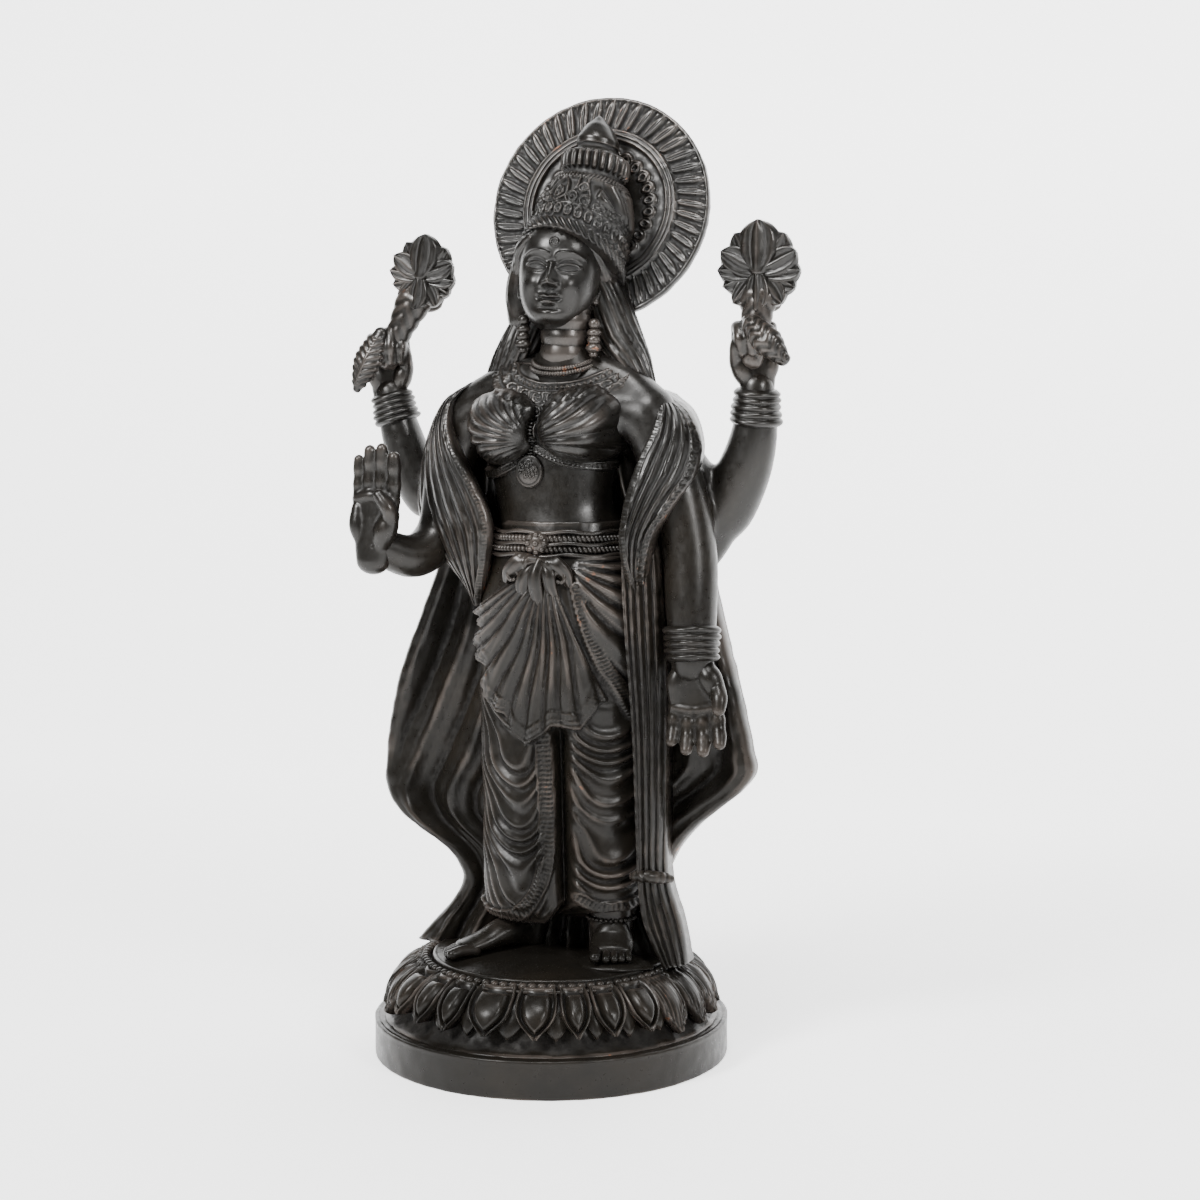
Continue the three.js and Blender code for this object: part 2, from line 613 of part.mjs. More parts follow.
function pedestal() {
  const [plinth, lotus, stage] = [PLINTH_DIAMETER / 2, LOTUS_DIAMETER / 2, STAGE_DIAMETER / 2];
  const [ring, bead] = [BEAD_RING_DIAMETER / 2, BEAD_DIAMETER / 2];
  const core = lotus - PETAL_RELIEF;
  const lotusTop = PLINTH_HEIGHT + LOTUS_HEIGHT;
  const tip = PLINTH_HEIGHT + PETAL_LIFT;
  const edge = (u) => tip + LOTUS_HEIGHT * 0.42 * Math.abs(u) ** 1.5;
  const lowerTip = (u) => 1 - Math.abs(u);
  const onBead = (j) => (j % BEAD_SAMPLES === 0 ? 1 : 0);
  const rows = [
    () => [plinth, 0],
    () => [plinth, PLINTH_HEIGHT - PLINTH_EDGE],
    () => [plinth - PLINTH_EDGE, PLINTH_HEIGHT],
    (u) => [core + PETAL_RELIEF * 0.7 * (1 - lowerTip(u)), PLINTH_HEIGHT + PETAL_EDGE * 0.4],
    (u) => [core - PETAL_EDGE + PETAL_RELIEF * 0.5 * (1 - lowerTip(u)), edge(u) - PETAL_EDGE],
    (u) => [lotus - PETAL_RELIEF * 0.3 * Math.abs(u), edge(u)],
    (u) => [mix(lotus, ring + bead, 0.3) - PETAL_RELIEF * 0.6 * Math.abs(u) ** 2, mix(edge(u), lotusTop, 0.62)],
    (u, j) => [ring + bead * 0.5, lotusTop + bead * (0.2 + 0.9 * onBead(j))],
    (u, j) => [ring - bead * 0.5, lotusTop + bead * (0.2 + 0.9 * onBead(j))],
    () => [stage, lotusTop + bead * 0.2],
    () => [stage - PLINTH_EDGE, STAGE_TOP],
  ];
  const sides = PETAL_COUNT * PETAL_SAMPLES;
  return skin(rows.map((row) => range(sides).map((j) => {
    const angle = (2 * Math.PI * j) / sides - Math.PI / 2;
    const u = (((j + PETAL_SAMPLES / 2) % PETAL_SAMPLES) / PETAL_SAMPLES) * 2 - 1;
    const [reach, z] = row(u, j);
    return new THREE.Vector3(Math.cos(angle) * reach, Math.sin(angle) * reach, z);
  })));
}

// Everything that keeps the figure's proportions, scaled and set on the stage
function figure() {
  const forms = [
    trunk(),
    skirt(),
    shawl(),
    ...shoulderFolds(),
    ...arms(),
    ...hands(),
    ...attributes(),
    head(),
    crown(),
    ...neckAndHair(),
    ...feet(),
  ];
  return forms.map((form) => form.scale(UNIT, UNIT, UNIT));
}

const onStage = [...figure(), halo()].map((form) => form.translate(0, 0, STAGE_TOP));
const casting = new THREE.Mesh(toGeometry(join([pedestal(), ...onStage])), bronze);
casting.name = "lakshmi_figure";

const model = new THREE.Group();
model.add(casting);

export default model;
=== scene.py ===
"""Standing four-armed goddess on a lotus pedestal, cast in brass and patinated nearly black.

Every surface is worked out with numpy in millimetres. The figure's own shapes count their height from the
soles, and piece() lifts them onto the stage of the pedestal.
"""
import math

import bpy
import numpy as np
from mathutils import Matrix, Vector


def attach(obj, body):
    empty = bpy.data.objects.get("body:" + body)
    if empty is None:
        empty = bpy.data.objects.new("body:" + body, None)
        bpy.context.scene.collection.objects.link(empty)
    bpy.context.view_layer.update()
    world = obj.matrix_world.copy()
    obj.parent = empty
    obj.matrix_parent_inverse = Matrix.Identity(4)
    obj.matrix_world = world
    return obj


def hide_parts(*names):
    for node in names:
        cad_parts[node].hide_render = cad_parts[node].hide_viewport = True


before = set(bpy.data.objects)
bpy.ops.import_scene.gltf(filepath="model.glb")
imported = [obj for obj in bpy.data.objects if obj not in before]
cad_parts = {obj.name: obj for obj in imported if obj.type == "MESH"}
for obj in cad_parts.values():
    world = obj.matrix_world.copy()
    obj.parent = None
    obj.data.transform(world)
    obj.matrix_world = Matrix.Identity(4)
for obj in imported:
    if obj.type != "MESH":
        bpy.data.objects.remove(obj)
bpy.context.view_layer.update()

MM = 0.001
NODE = "lakshmi_figure"

# The share of the listed rows and columns that a loft or a cloth is drawn with, and the grids of the melted skins
FINENESS = 0.8
TRUNK_VOXEL = 1.4
HAND_VOXEL = 0.68

# Rows and columns of the grids
CARVED_PETAL_GRID, VEINED_PETAL_GRID, PLAIN_PETAL_GRID = (37, 34), (29, 23), (18, 16)
TRUNK_GRID = (80, 110)
BLOUSE_GRID = (150, 184)
HEAD_GRID = (160, 176)
CROWN_GRID = (190, 220)
SKIRT_GRID = (236, 200)
SHAWL_GRID = (172, 106)

# Pedestal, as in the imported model
PLINTH_RADIUS = 75.0
PLINTH_HEIGHT = 16.0
LOTUS_HEIGHT = 23.0
PETAL_COUNT = 26
CARVED_FROM, CARVED_TO = -48, 68  # degrees from the front, between which the petals are carved
RING_BEADS = 84
BEAD_RING_RADIUS = 53.4
STAGE_RADIUS = 50.5
STAGE_HEIGHT = 3.0
STAGE_TOP = PLINTH_HEIGHT + LOTUS_HEIGHT + STAGE_HEIGHT

# Halo
HALO_RADIUS = 48.0
HALO_HALF_THICKNESS = 2.75
HALO_LEAN = 12.0
HALO_RAYS = 46
HALO_RAY_LENGTH = 12.6
HALO_SCALLOPS = 26
SCALLOP_RADIUS = 22.2
HALO_MIDDLE = (13.5, 24.0, 313.5)


# Small mathematics

def smooth(low, high, t):
    """0 below low, 1 above high, and the cubic 3s^2 - 2s^3 between."""
    s = np.clip((t - low) / (high - low), 0.0, 1.0)
    return s * s * (3.0 - 2.0 * s)


def between(low, high, soft, t):
    """1 from low to high and 0 outside, with edges 2 * soft wide."""
    return smooth(low - soft, low + soft, t) * smooth(high + soft, high - soft, t)


def hill(t, width):
    """A bell: e to the power of minus (t / width) squared."""
    return np.exp(-((t / width) ** 2))


def dome(x, z, wide, high):
    """A bell in two directions: e to the power of minus (x / wide) squared minus (z / high) squared."""
    return np.exp(-((x / wide) ** 2) - (z / high) ** 2)


def pillow(t, power=2.4):
    """Rounded ridges with sharp grooves at whole numbers: 1 - |2 frac(t) - 1| ** power."""
    return 1.0 - np.abs(2.0 * (t - np.floor(t)) - 1.0) ** power


def lerp(a, b, t):
    """From a at t = 0 to b at t = 1."""
    return a + (b - a) * t


def table(rows):
    """A function through the rows of a table: a cubic in each column over the first, sloped as its neighbours."""
    rows = np.array(rows, float)
    knots, values = rows[:, 0], rows[:, 1:]
    last = len(knots) - 1
    before, after = np.maximum(np.arange(last + 1) - 1, 0), np.minimum(np.arange(last + 1) + 1, last)
    slopes = (values[after] - values[before]) / (knots[after] - knots[before])[:, None]

    def at(t):
        t = np.clip(np.asarray(t, float), knots[0], knots[-1])
        i = np.clip(np.searchsorted(knots, t, side="right") - 1, 0, last - 1)
        h = (knots[i + 1] - knots[i])[..., None]
        s = ((t - knots[i])[..., None]) / h
        return (
            (2 * s**3 - 3 * s**2 + 1) * values[i]
            + (s**3 - 2 * s**2 + s) * h * slopes[i]
            + (3 * s**2 - 2 * s**3) * values[i + 1]
            + (s**3 - s**2) * h * slopes[i + 1]
        )

    return at


def columns(of, heights):
    """The columns of a table at a column of heights, each as a column of its own."""
    values = of(heights[:, 0])
    return np.split(values, values.shape[1], 1)


def curve(points, count):
    """count points, evenly spaced along a smooth curve through the given ones."""
    p = np.array(points, float)
    knots = np.concatenate([[0.0], np.cumsum(np.sqrt(np.linalg.norm(np.diff(p, axis=0), axis=1)))])
    fine = table(np.column_stack([knots, p]))(np.linspace(0.0, knots[-1], 400))
    length = np.concatenate([[0.0], np.cumsum(np.linalg.norm(np.diff(fine, axis=0), axis=1))])
    want = np.linspace(0.0, length[-1], count)
    return np.column_stack([np.interp(want, length, fine[:, k]) for k in range(p.shape[1])])


def spread(values, s):
    """The value at share s of a list that is spread evenly from 0 to 1."""
    values = np.atleast_1d(np.array(values, float))
    if len(values) == 1:
        return np.full_like(np.asarray(s, float), values[0])
    knots = np.linspace(0.0, 1.0, len(values))
    return table(np.column_stack([knots, values]))(s)[..., 0]


def unit(v):
    """Vectors shortened to length 1."""
    return v / (np.linalg.norm(v, axis=-1, keepdims=True) + 1e-12)


def in_cell(t, pitch):
    """How far t lies from the middle of its cell, where cells follow each other at a pitch."""
    return (t / pitch - np.floor(t / pitch) - 0.5) * pitch


def around(count):
    """Evenly spaced angles round a circle."""
    return np.linspace(0, 2 * np.pi, count, endpoint=False)


def from_back(count, crowding):
    """Angles round a body that start at its back and lie closer together in front."""
    turn = np.linspace(-math.pi, math.pi, count, endpoint=False)[None, :]
    return -math.pi / 2 + turn - crowding * np.sin(turn)


def grid(x, y, z):
    """Points from three coordinates, which are spread over one shape."""
    return np.stack(np.broadcast_arrays(x, y, z), -1)


# Surfaces: (vertices, quads, triangles)

def skin(points):
    """A closed skin over a grid whose rows run round and whose ends close on their middles. Faces point out."""
    rows, cols = points.shape[:2]
    i, j = np.arange(rows - 1)[:, None], np.arange(cols)[None, :]
    k = (j + 1) % cols
    quads = np.stack([i * cols + j, i * cols + k, (i + 1) * cols + k, (i + 1) * cols + j], -1).reshape(-1, 4)
    first, final = rows * cols, rows * cols + 1
    j, k = np.arange(cols), (np.arange(cols) + 1) % cols
    base = (rows - 1) * cols
    tris = np.concatenate([
        np.stack([np.full(cols, first), k, j], -1),
        np.stack([np.full(cols, final), base + j, base + k], -1),
    ])
    verts = np.concatenate([points.reshape(-1, 3), [points[0].mean(0)], [points[-1].mean(0)]])
    a, b, c, d = (verts[quads[:, n]] for n in range(4))
    volume = np.einsum("ij,ij->", a, np.cross(b, c)) + np.einsum("ij,ij->", a, np.cross(c, d))
    volume += np.einsum("ij,ij->", verts[tris[:, 0]], np.cross(verts[tris[:, 1]], verts[tris[:, 2]]))
    return (verts, quads, tris) if volume > 0 else (verts, quads[:, ::-1], tris[:, ::-1])


def merge(surfaces):
    """Several surfaces as one."""
    verts, quads, tris, base = [], [], [], 0
    for v, q, t in surfaces:
        verts.append(v)
        quads.append(q + base)
        tris.append(t + base)
        base += len(v)
    return np.concatenate(verts), np.concatenate(quads), np.concatenate(tris)


def moved(surface, matrix, shift=(0.0, 0.0, 0.0)):
    """A surface through a 3x3 matrix and a shift."""
    v, q, t = surface
    flip = np.linalg.det(matrix) < 0
    return v @ np.array(matrix).T + np.array(shift), q[:, ::-1] if flip else q, t[:, ::-1] if flip else t


def turned(degrees):
    """The matrix of a turn about +Z."""
    a = math.radians(degrees)
    return np.array([[math.cos(a), -math.sin(a), 0], [math.sin(a), math.cos(a), 0], [0, 0, 1.0]])


def tipped(degrees):
    """The matrix of a turn about +X."""
    a = math.radians(degrees)
    return np.array([[1.0, 0, 0], [0, math.cos(a), -math.sin(a)], [0, math.sin(a), math.cos(a)]])


def loft(path, widths, depths=None, side=(1, 0, 0), rows=40, cols=24, relief=None, blunt=1.0):
    """A round-ended body along a curve.

    Each ring is an ellipse across the curve, with half-axes from the evenly spread lists widths, along side,
    and depths, across it. relief(s, angle) adds to both, and the ends shrink as a quarter circle.
    """
    depths = widths if depths is None else depths
    rows, cols = max(8, round(rows * FINENESS)), max(8, round(cols * FINENESS))
    line = curve(path, rows)
    along = unit(np.gradient(line, axis=0))
    across = unit(np.array(side, float) - (along @ np.array(side, float))[:, None] * along)
    up = np.cross(along, across)
    ends = np.radians(np.linspace(84.0, 0.0, max(4, cols // 5), endpoint=False))
    row = np.concatenate([np.zeros(len(ends), int), np.arange(rows), np.full(len(ends), rows - 1)])
    s = row / (rows - 1)
    w, d = spread(widths, s), spread(depths, s)
    shrink = np.concatenate([np.cos(ends), np.ones(rows), np.cos(ends[::-1])])
    reach = np.concatenate([-np.sin(ends), np.zeros(rows), np.sin(ends[::-1])]) * np.minimum(w, d) * blunt
    angle = around(cols)[None, :]
    more = relief(s[:, None], angle) if relief else 0.0
    x = np.cos(angle) * (w[:, None] + more) * shrink[:, None]
    y = np.sin(angle) * (d[:, None] + more) * shrink[:, None]
    middle = line[row] + along[row] * reach[:, None]
    return skin(middle[:, None] + across[row][:, None] * x[..., None] + up[row][:, None] * y[..., None])


BALL_ANGLES = around(8)
BALL_LIFTS = np.radians([-67.5, -36.0, 0.0, 36.0, 67.5])
BALL = skin(np.stack([
    np.cos(BALL_LIFTS)[:, None] * np.cos(BALL_ANGLES),
    np.cos(BALL_LIFTS)[:, None] * np.sin(BALL_ANGLES),
    np.repeat(np.sin(BALL_LIFTS)[:, None], 8, 1),
], -1))


def beads(middles, sizes, along=None, outward=None):
    """A bead at each middle: the small ball stretched by sizes = (along, across, outward) in a frame there."""
    middles = np.array(middles, float)
    n = len(middles)
    along = np.tile([1.0, 0, 0], (n, 1)) if along is None else unit(np.array(along, float))
    outward = np.tile([0, -1.0, 0], (n, 1)) if outward is None else np.array(outward, float)
    outward = unit(outward - np.sum(outward * along, -1, keepdims=True) * along)
    across = np.cross(outward, along)
    sizes = np.broadcast_to(np.array(sizes, float), (n, 3))
    v, q, t = BALL
    verts = middles[:, None] + (
        along[:, None] * (v[None, :, :1] * sizes[:, None, :1])
        + across[:, None] * (v[None, :, 1:2] * sizes[:, None, 1:2])
        + outward[:, None] * (v[None, :, 2:] * sizes[:, None, 2:])
    )
    shift = (np.arange(n) * len(v))[:, None, None]
    return verts.reshape(-1, 3), (q[None] + shift).reshape(-1, 4), (t[None] + shift).reshape(-1, 3)


def raised(points, relief):
    """A grid of points moved out along its own normals by a relief in millimetres; its columns run round."""
    down = np.gradient(points, axis=0)
    aside = np.roll(points, -1, 1) - np.roll(points, 1, 1)
    normal = unit(np.cross(aside, down))
    middle = points.mean(axis=1, keepdims=True)
    facing = np.sign(np.sum(normal * (points - middle), axis=(0, 1)).sum())
    return points + normal * facing * np.asarray(relief)[..., None]


# Objects

def wavy(points, seed, amount=0.05):
    """The unevenness of a casting: a sum of 24 plane waves, 3 to 14 mm long, in millimetres."""
    rng = np.random.default_rng(seed)
    heading = unit(rng.normal(size=(24, 3)))
    pitch = 2 * np.pi / rng.uniform(3.0, 14.0, 24)
    phase = rng.uniform(0, 2 * np.pi, 24)
    return amount * np.sin(points @ (heading * pitch[:, None]).T + phase).sum(axis=1) / math.sqrt(12.0)


def mesh_from(name, surface):
    """A mesh object from a surface in millimetres."""
    v, q, t = surface
    mesh = bpy.data.meshes.new(name)
    mesh.vertices.add(len(v))
    mesh.vertices.foreach_set("co", (v * MM).astype(np.float32).ravel())
    corners = np.concatenate([q.ravel(), t.ravel()]).astype(np.int32)
    starts = np.concatenate([np.arange(len(q)) * 4, len(q) * 4 + np.arange(len(t)) * 3]).astype(np.int32)
    mesh.loops.add(len(corners))
    mesh.loops.foreach_set("vertex_index", corners)
    mesh.polygons.add(len(starts))
    mesh.polygons.foreach_set("loop_start", starts)
    mesh.polygons.foreach_set("use_smooth", np.ones(len(starts), bool))
    mesh.update(calc_edges=True)
    obj = bpy.data.objects.new(name, mesh)
    bpy.context.scene.collection.objects.link(obj)
    return obj


def mark_hollows(mesh):
    """Writes how deep each vertex lies under the surface smoothed over about 2 mm, in millimetres, as "hollow"."""
    n = len(mesh.vertices)
    v = np.empty(n * 3, np.float32)
    mesh.vertices.foreach_get("co", v)
    v = v.reshape(-1, 3).astype(float) / MM
    normal = np.empty(n * 3, np.float32)
    mesh.vertex_normals.foreach_get("vector", normal)
    normal = normal.reshape(-1, 3)
    edges = np.empty(len(mesh.edges) * 2, np.int32)
    mesh.edges.foreach_get("vertices", edges)
    a, b = edges.reshape(-1, 2).T
    count = np.maximum(np.bincount(a, minlength=n) + np.bincount(b, minlength=n), 1)
    step = float(np.median(np.linalg.norm(v[a] - v[b], axis=1)))
    p = v
    for _ in range(int(np.clip((2.0 / step) ** 2, 2, 24))):
        total = [np.bincount(a, p[b, k], n) + np.bincount(b, p[a, k], n) for k in range(3)]
        p = 0.5 * p + 0.5 * np.stack(total, -1) / count[:, None]
    depth = np.einsum("ij,ij->i", p - v, normal)
    attribute = mesh.attributes.new("hollow", "FLOAT", "POINT")
    attribute.data.foreach_set("value", depth.astype(np.float32))


def finish_piece(obj, material):
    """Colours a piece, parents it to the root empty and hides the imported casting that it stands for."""
    mark_hollows(obj.data)
    obj.data.materials.append(material)
    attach(obj, "root")
    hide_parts(NODE)
    return obj


def piece(name, surfaces, material, lift=STAGE_TOP, rough=0.05, seed=1):
    """One piece of the casting from surfaces in millimetres, lifted onto the stage, with a cast unevenness."""
    v, q, t = merge(surfaces)
    v = v + np.array([0.0, 0.0, lift])
    obj = mesh_from(name, (v, q, t))
    if rough:
        normal = np.empty(len(v) * 3, np.float32)
        obj.data.vertex_normals.foreach_get("vector", normal)
        v = v + normal.reshape(-1, 3) * wavy(v, seed, rough)[:, None]
        obj.data.vertices.foreach_set("co", (v * MM).astype(np.float32).ravel())
        obj.data.update()
    return finish_piece(obj, material)


def fused_piece(name, surfaces, material, voxel, smoothing, lift=STAGE_TOP):
    """Several overlapping bodies melted into one skin on a voxel grid, then relaxed."""
    v, q, t = merge(surfaces)
    obj = mesh_from(name, (v + np.array([0.0, 0.0, lift]), q, t))
    melt = obj.modifiers.new("melt", "REMESH")
    melt.mode = "VOXEL"
    melt.voxel_size = voxel * MM
    relax = obj.modifiers.new("relax", "SMOOTH")
    relax.factor = 0.5
    relax.iterations = smoothing
    baked = bpy.data.meshes.new_from_object(obj.evaluated_get(bpy.context.evaluated_depsgraph_get()))
    obj.modifiers.clear()
    obj.data = baked
    baked.polygons.foreach_set("use_smooth", np.ones(len(baked.polygons), bool))
    return finish_piece(obj, material)


# Pedestal

def lathe(rows, count=300):
    """A turned body: rows of (radius, height) round the z axis."""
    rows = np.array(rows, float)
    angle = around(count)[None, :]
    r, z = rows[:, :1], rows[:, 1:2]
    return skin(grid(r * np.cos(angle), r * np.sin(angle), z))


def plinth(bronze):
    """The drum with a rolled lip, a groove inside it and a top that rises a little."""
    r, h = PLINTH_RADIUS, PLINTH_HEIGHT
    side = [(r - 0.5, 0.0), (r - 0.1, 0.25)] + [(r, z) for z in np.linspace(0.8, h - 1.7, 12)]
    lip = [(r + 0.12, h - 1.3), (r + 0.1, h - 0.6), (r - 0.3, h - 0.15), (r - 0.9, h), (r - 1.5, h - 0.1)]
    groove = [(r - 1.9, h - 0.35), (r - 2.3, h - 0.4), (r - 2.8, h - 0.12)]
    top = [(x, h - 0.1 + 0.02 * (r - x)) for x in np.linspace(r - 3.4, 50.0, 24)]
    piece("turned_plinth", [lathe(side + lip + groove + top)], bronze, lift=0.0, rough=0.05, seed=11)


PETAL_SPINE = [
    # share from the tip up, radius, height over the plinth
    [0.0, 69.6, 7.2],
    [0.08, 70.4, 8.8],
    [0.2, 70.0, 11.2],
    [0.36, 69.0, 14.2],
    [0.52, 67.4, 17.0],
    [0.7, 64.2, 19.9],
    [0.85, 60.4, 22.0],
    [1.0, 56.0, 23.3],
]
PETAL_WIDTH = [
    # share from the tip up, half width as a share of the petal's own sector
    [0.0, 0.02],
    [0.05, 0.13],
    [0.15, 0.4],
    [0.28, 0.68],
    [0.42, 0.88],
    [0.58, 0.97],
    [0.78, 1.0],
    [1.0, 0.9],
]


def hand_spaced(angle):
    """The even petal angles, from the front, eased apart in front as the maker set them."""
    t = (np.asarray(angle, float) - math.radians(5.0)) / math.radians(20.0)
    return angle + math.radians(7.4) * t * np.exp(-t * t)


def petal(low, high, counts, style, sink, drop):
    """One lotus petal between two angles from the front: a shield with its point down.

    The front point at share v of the spine and u across it lies at the sector's angle u * width(v), 2.6 u^2 inside
    the spine's radius. A "heart" gets a round rim, a groove and a plain boss, a "striped" one gets veins, and a
    "plain" one nothing. It is set back by sink, and its tip hangs lower by drop.
    """
    rows, cols = counts
    v = np.linspace(0.0, 1.0, rows)[:, None]
    u = np.sin(np.linspace(-math.pi / 2, math.pi / 2, cols)) * 0.5 + np.linspace(-1, 1, cols) * 0.5
    u = u[None, :]
    spine = table(PETAL_SPINE)(v[:, 0])
    spine[:, 1] -= drop * (1 - v[:, 0]) ** 1.5
    slope = unit(np.gradient(spine, axis=0))
    out, up = slope[:, 1:2], -slope[:, :1]
    sector = (high - low) / 2
    middle = (high + low) / 2 - math.pi / 2
    width = table(PETAL_WIDTH)(v[:, 0])
    half = width * sector * spine[:, :1]
    x = u * half
    rim = np.minimum((1 - np.abs(u)) * half * 0.9, (1 - v) * 22.0)
    height = 0.0 * x
    if style == "heart":
        height = 2.0 * smooth(0.0, 0.5, rim) * smooth(1.9, 1.1, rim)
        height = height + 3.0 * np.sqrt(smooth(2.1, 4.6, rim)) * smooth(1.0, 0.8, v)
        height = height - 1.2 * smooth(0.5, 2.0, rim)
    if style == "striped":
        height = 1.0 * pillow(x / 1.9 + 0.5 * v, 1.8) + 0.8 * smooth(0.0, 0.5, rim) * smooth(1.6, 0.9, rim)
    height = height * smooth(0.0, 0.06, v)
    r = spine[:, :1] - sink - 2.6 * u**2 * width + out * height
    z = spine[:, 1:2] + up * height
    angle = middle + u * width * sector * 0.97
    back_u = np.linspace(0.9, -0.9, 6)[None, :]
    back_angle = middle + back_u * width * sector
    back_r = spine[:, :1] - sink - 5.5 + 0.0 * back_u
    back_z = spine[:, 1:2] + 0.0 * back_u
    angle, r, z = (np.concatenate(pair, 1) for pair in [(angle, back_angle), (r, back_r), (z, back_z)])
    return skin(np.stack([r * np.cos(angle), r * np.sin(angle), PLINTH_HEIGHT + z], -1))


def lotus(bronze):
    """A ring of petals, carved in front and veined behind, with plain ones in the gaps and a core inside."""
    edges = hand_spaced(2 * math.pi * (np.arange(PETAL_COUNT + 1) - 0.5 - PETAL_COUNT // 2) / PETAL_COUNT)
    petals, under = [], []
    for low, high in zip(edges[:-1], edges[1:]):
        middle = math.degrees(low + high) / 2
        carved = CARVED_FROM < middle < CARVED_TO
        if carved:
            petals.append(petal(low, high, CARVED_PETAL_GRID, "heart", 0.0, 0.0))
        else:
            petals.append(petal(low, high, VEINED_PETAL_GRID, "striped", 0.0, 4.5))
    half_step = math.pi / PETAL_COUNT
    for low, high in zip(edges[:-1] + half_step, edges[1:] + half_step):
        under.append(petal(low + 0.02, high - 0.02, PLAIN_PETAL_GRID, "plain", 2.6, 1.8))
    piece("lotus_petals", petals, bronze, lift=0.0, rough=0.05, seed=12)
    core = lathe([
        (71.4, PLINTH_HEIGHT - 0.4), (70.4, 16.3), (68.8, 17.0), (66.6, 18.6), (64.6, 22.0), (62.4, 28.0),
        (60.0, 33.0), (56.0, 37.0), (53.0, 39.0),
    ], 200)
    piece("lotus_core", [core] + under, bronze, lift=0.0, rough=0.12, seed=13)


def stage(bronze):
    """Bead ring and the stage, which rises a little towards the figure."""
    top = PLINTH_HEIGHT + LOTUS_HEIGHT
    r = STAGE_RADIUS
    rows = [(50.0, top - 3.0), (57.2, top - 1.2), (57.6, top - 0.2), (57.3, top + 0.5), (56.7, top + 0.7)]
    rows += [(56.1, top + 0.3), (55.6, top - 0.1), (51.4, top + 0.1), (r + 0.3, top + 0.9), (r, top + 1.6)]
    rows += [(r, STAGE_TOP - 0.7)]
    rows += [(r - 0.3, STAGE_TOP - 0.15), (r - 0.9, STAGE_TOP + 0.1), (r - 1.5, STAGE_TOP - 0.1)]
    rows += [(x, STAGE_TOP - 0.15 + 2.4 * (1 - (x / (r - 2.2)) ** 2)) for x in np.linspace(r - 2.2, 4.0, 24)]
    angle = 2 * np.pi * np.arange(RING_BEADS) / RING_BEADS
    c, s = np.cos(angle), np.sin(angle)
    middles = grid(BEAD_RING_RADIUS * c, BEAD_RING_RADIUS * s, top + 0.9)
    ring = beads(middles, (1.95, 2.1, 1.9), grid(-s, c, 0.0), np.tile([0, 0, 1.0], (RING_BEADS, 1)))
    piece("bead_ring_and_stage", [lathe(rows, 220), ring], bronze, lift=0.0, rough=0.05, seed=14)


# Halo

def halo(bronze):
    """A leaning disc in polar form.

    A plain ring of ridges parts a row of scallops, which each hold an eyelet, from slanted leaf-shaped rays with a
    low dart between each two at the plain rim.
    """
    rim = HALO_RADIUS - 1.0
    inner = rim - HALO_RAY_LENGTH
    radius = np.concatenate([
        np.linspace(14.0, inner, 40), np.linspace(inner, rim, 26)[1:], [HALO_RADIUS - 0.7, HALO_RADIUS - 0.3],
    ])[:, None]
    angle = around(HALO_RAYS * 12)[None, :]
    t = (radius - inner) / HALO_RAY_LENGTH
    phase = HALO_RAYS * angle / (2 * np.pi) + 0.5 * t + 0.12 * np.sin(5 * angle) + 0.1 * np.sin(2 * angle + 1.0)
    phi = phase - np.floor(phase) - 0.5
    x = phi * 2 * np.pi * radius / HALO_RAYS
    half = np.interp(t, [0.0, 0.1, 0.35, 0.65, 0.88, 1.0], [0.7, 1.35, 1.7, 1.85, 1.45, 0.8])
    q = np.abs(x) / half
    edge = 0.35 * hill(x / half + 0.6, 0.3)
    leaf = smooth(1.2, 0.8, q) * (1.7 + edge - 0.45 * hill(x - 0.2, 0.4) * smooth(0.9, 0.6, t))
    gap = (0.5 - np.abs(phi)) * 2 * np.pi * radius / HALO_RAYS
    wide = np.interp(t, [0.0, 0.55, 0.7, 0.95, 1.0], [0.0, 0.0, 0.15, 1.1, 1.3])
    dart = 0.9 * smooth(wide + 0.2, wide - 0.3, gap) * smooth(0.5, 0.65, t)
    rays = np.maximum(leaf, dart) * smooth(1.04, 0.99, t) - 1.8
    ridge = inner - radius
    rings = 1.1 * pillow(ridge / 1.75, 2.0) * smooth(5.25, 5.2, ridge) - 0.1
    cell = HALO_SCALLOPS * angle / (2 * np.pi) + 0.08 * np.sin(3 * angle)
    across = (cell - np.floor(cell) - 0.5) * 2 * np.pi * SCALLOP_RADIUS / HALO_SCALLOPS
    along = radius - SCALLOP_RADIUS
    eyelet = 1.6 * hill(np.hypot(across * 1.1, along * 0.85) - 1.5, 0.65)
    scallop = 1.5 * hill(np.hypot(across, along * 0.8 + 0.4) - 2.9, 0.65) * smooth(-1.8, 0.0, along)
    field = eyelet + scallop - 0.7
    height = np.where(t >= 0, np.where(t > 1, -0.35, rays), np.where(ridge < 5.25, rings, field))
    front = HALO_HALF_THICKNESS - 0.5 + height
    rest = np.array([
        [HALO_RADIUS, 1.6], [HALO_RADIUS, -1.6], [HALO_RADIUS - 0.6, -HALO_HALF_THICKNESS + 0.2],
        [HALO_RADIUS - 1.6, -HALO_HALF_THICKNESS], [30.0, -HALO_HALF_THICKNESS], [15.0, -HALO_HALF_THICKNESS],
    ])
    reach = np.concatenate([radius, rest[:, :1]]) + 0.0 * angle
    front = np.concatenate([front + 0.0 * angle, rest[:, 1:] + 0.0 * angle])
    points = np.stack([reach * np.cos(angle), -front, reach * np.sin(angle)], -1)
    points = points @ tipped(-HALO_LEAN).T + np.array(HALO_MIDDLE)
    piece("ray_halo", [skin(points)], bronze, rough=0.08, seed=15)


# Lines drawn on a surface

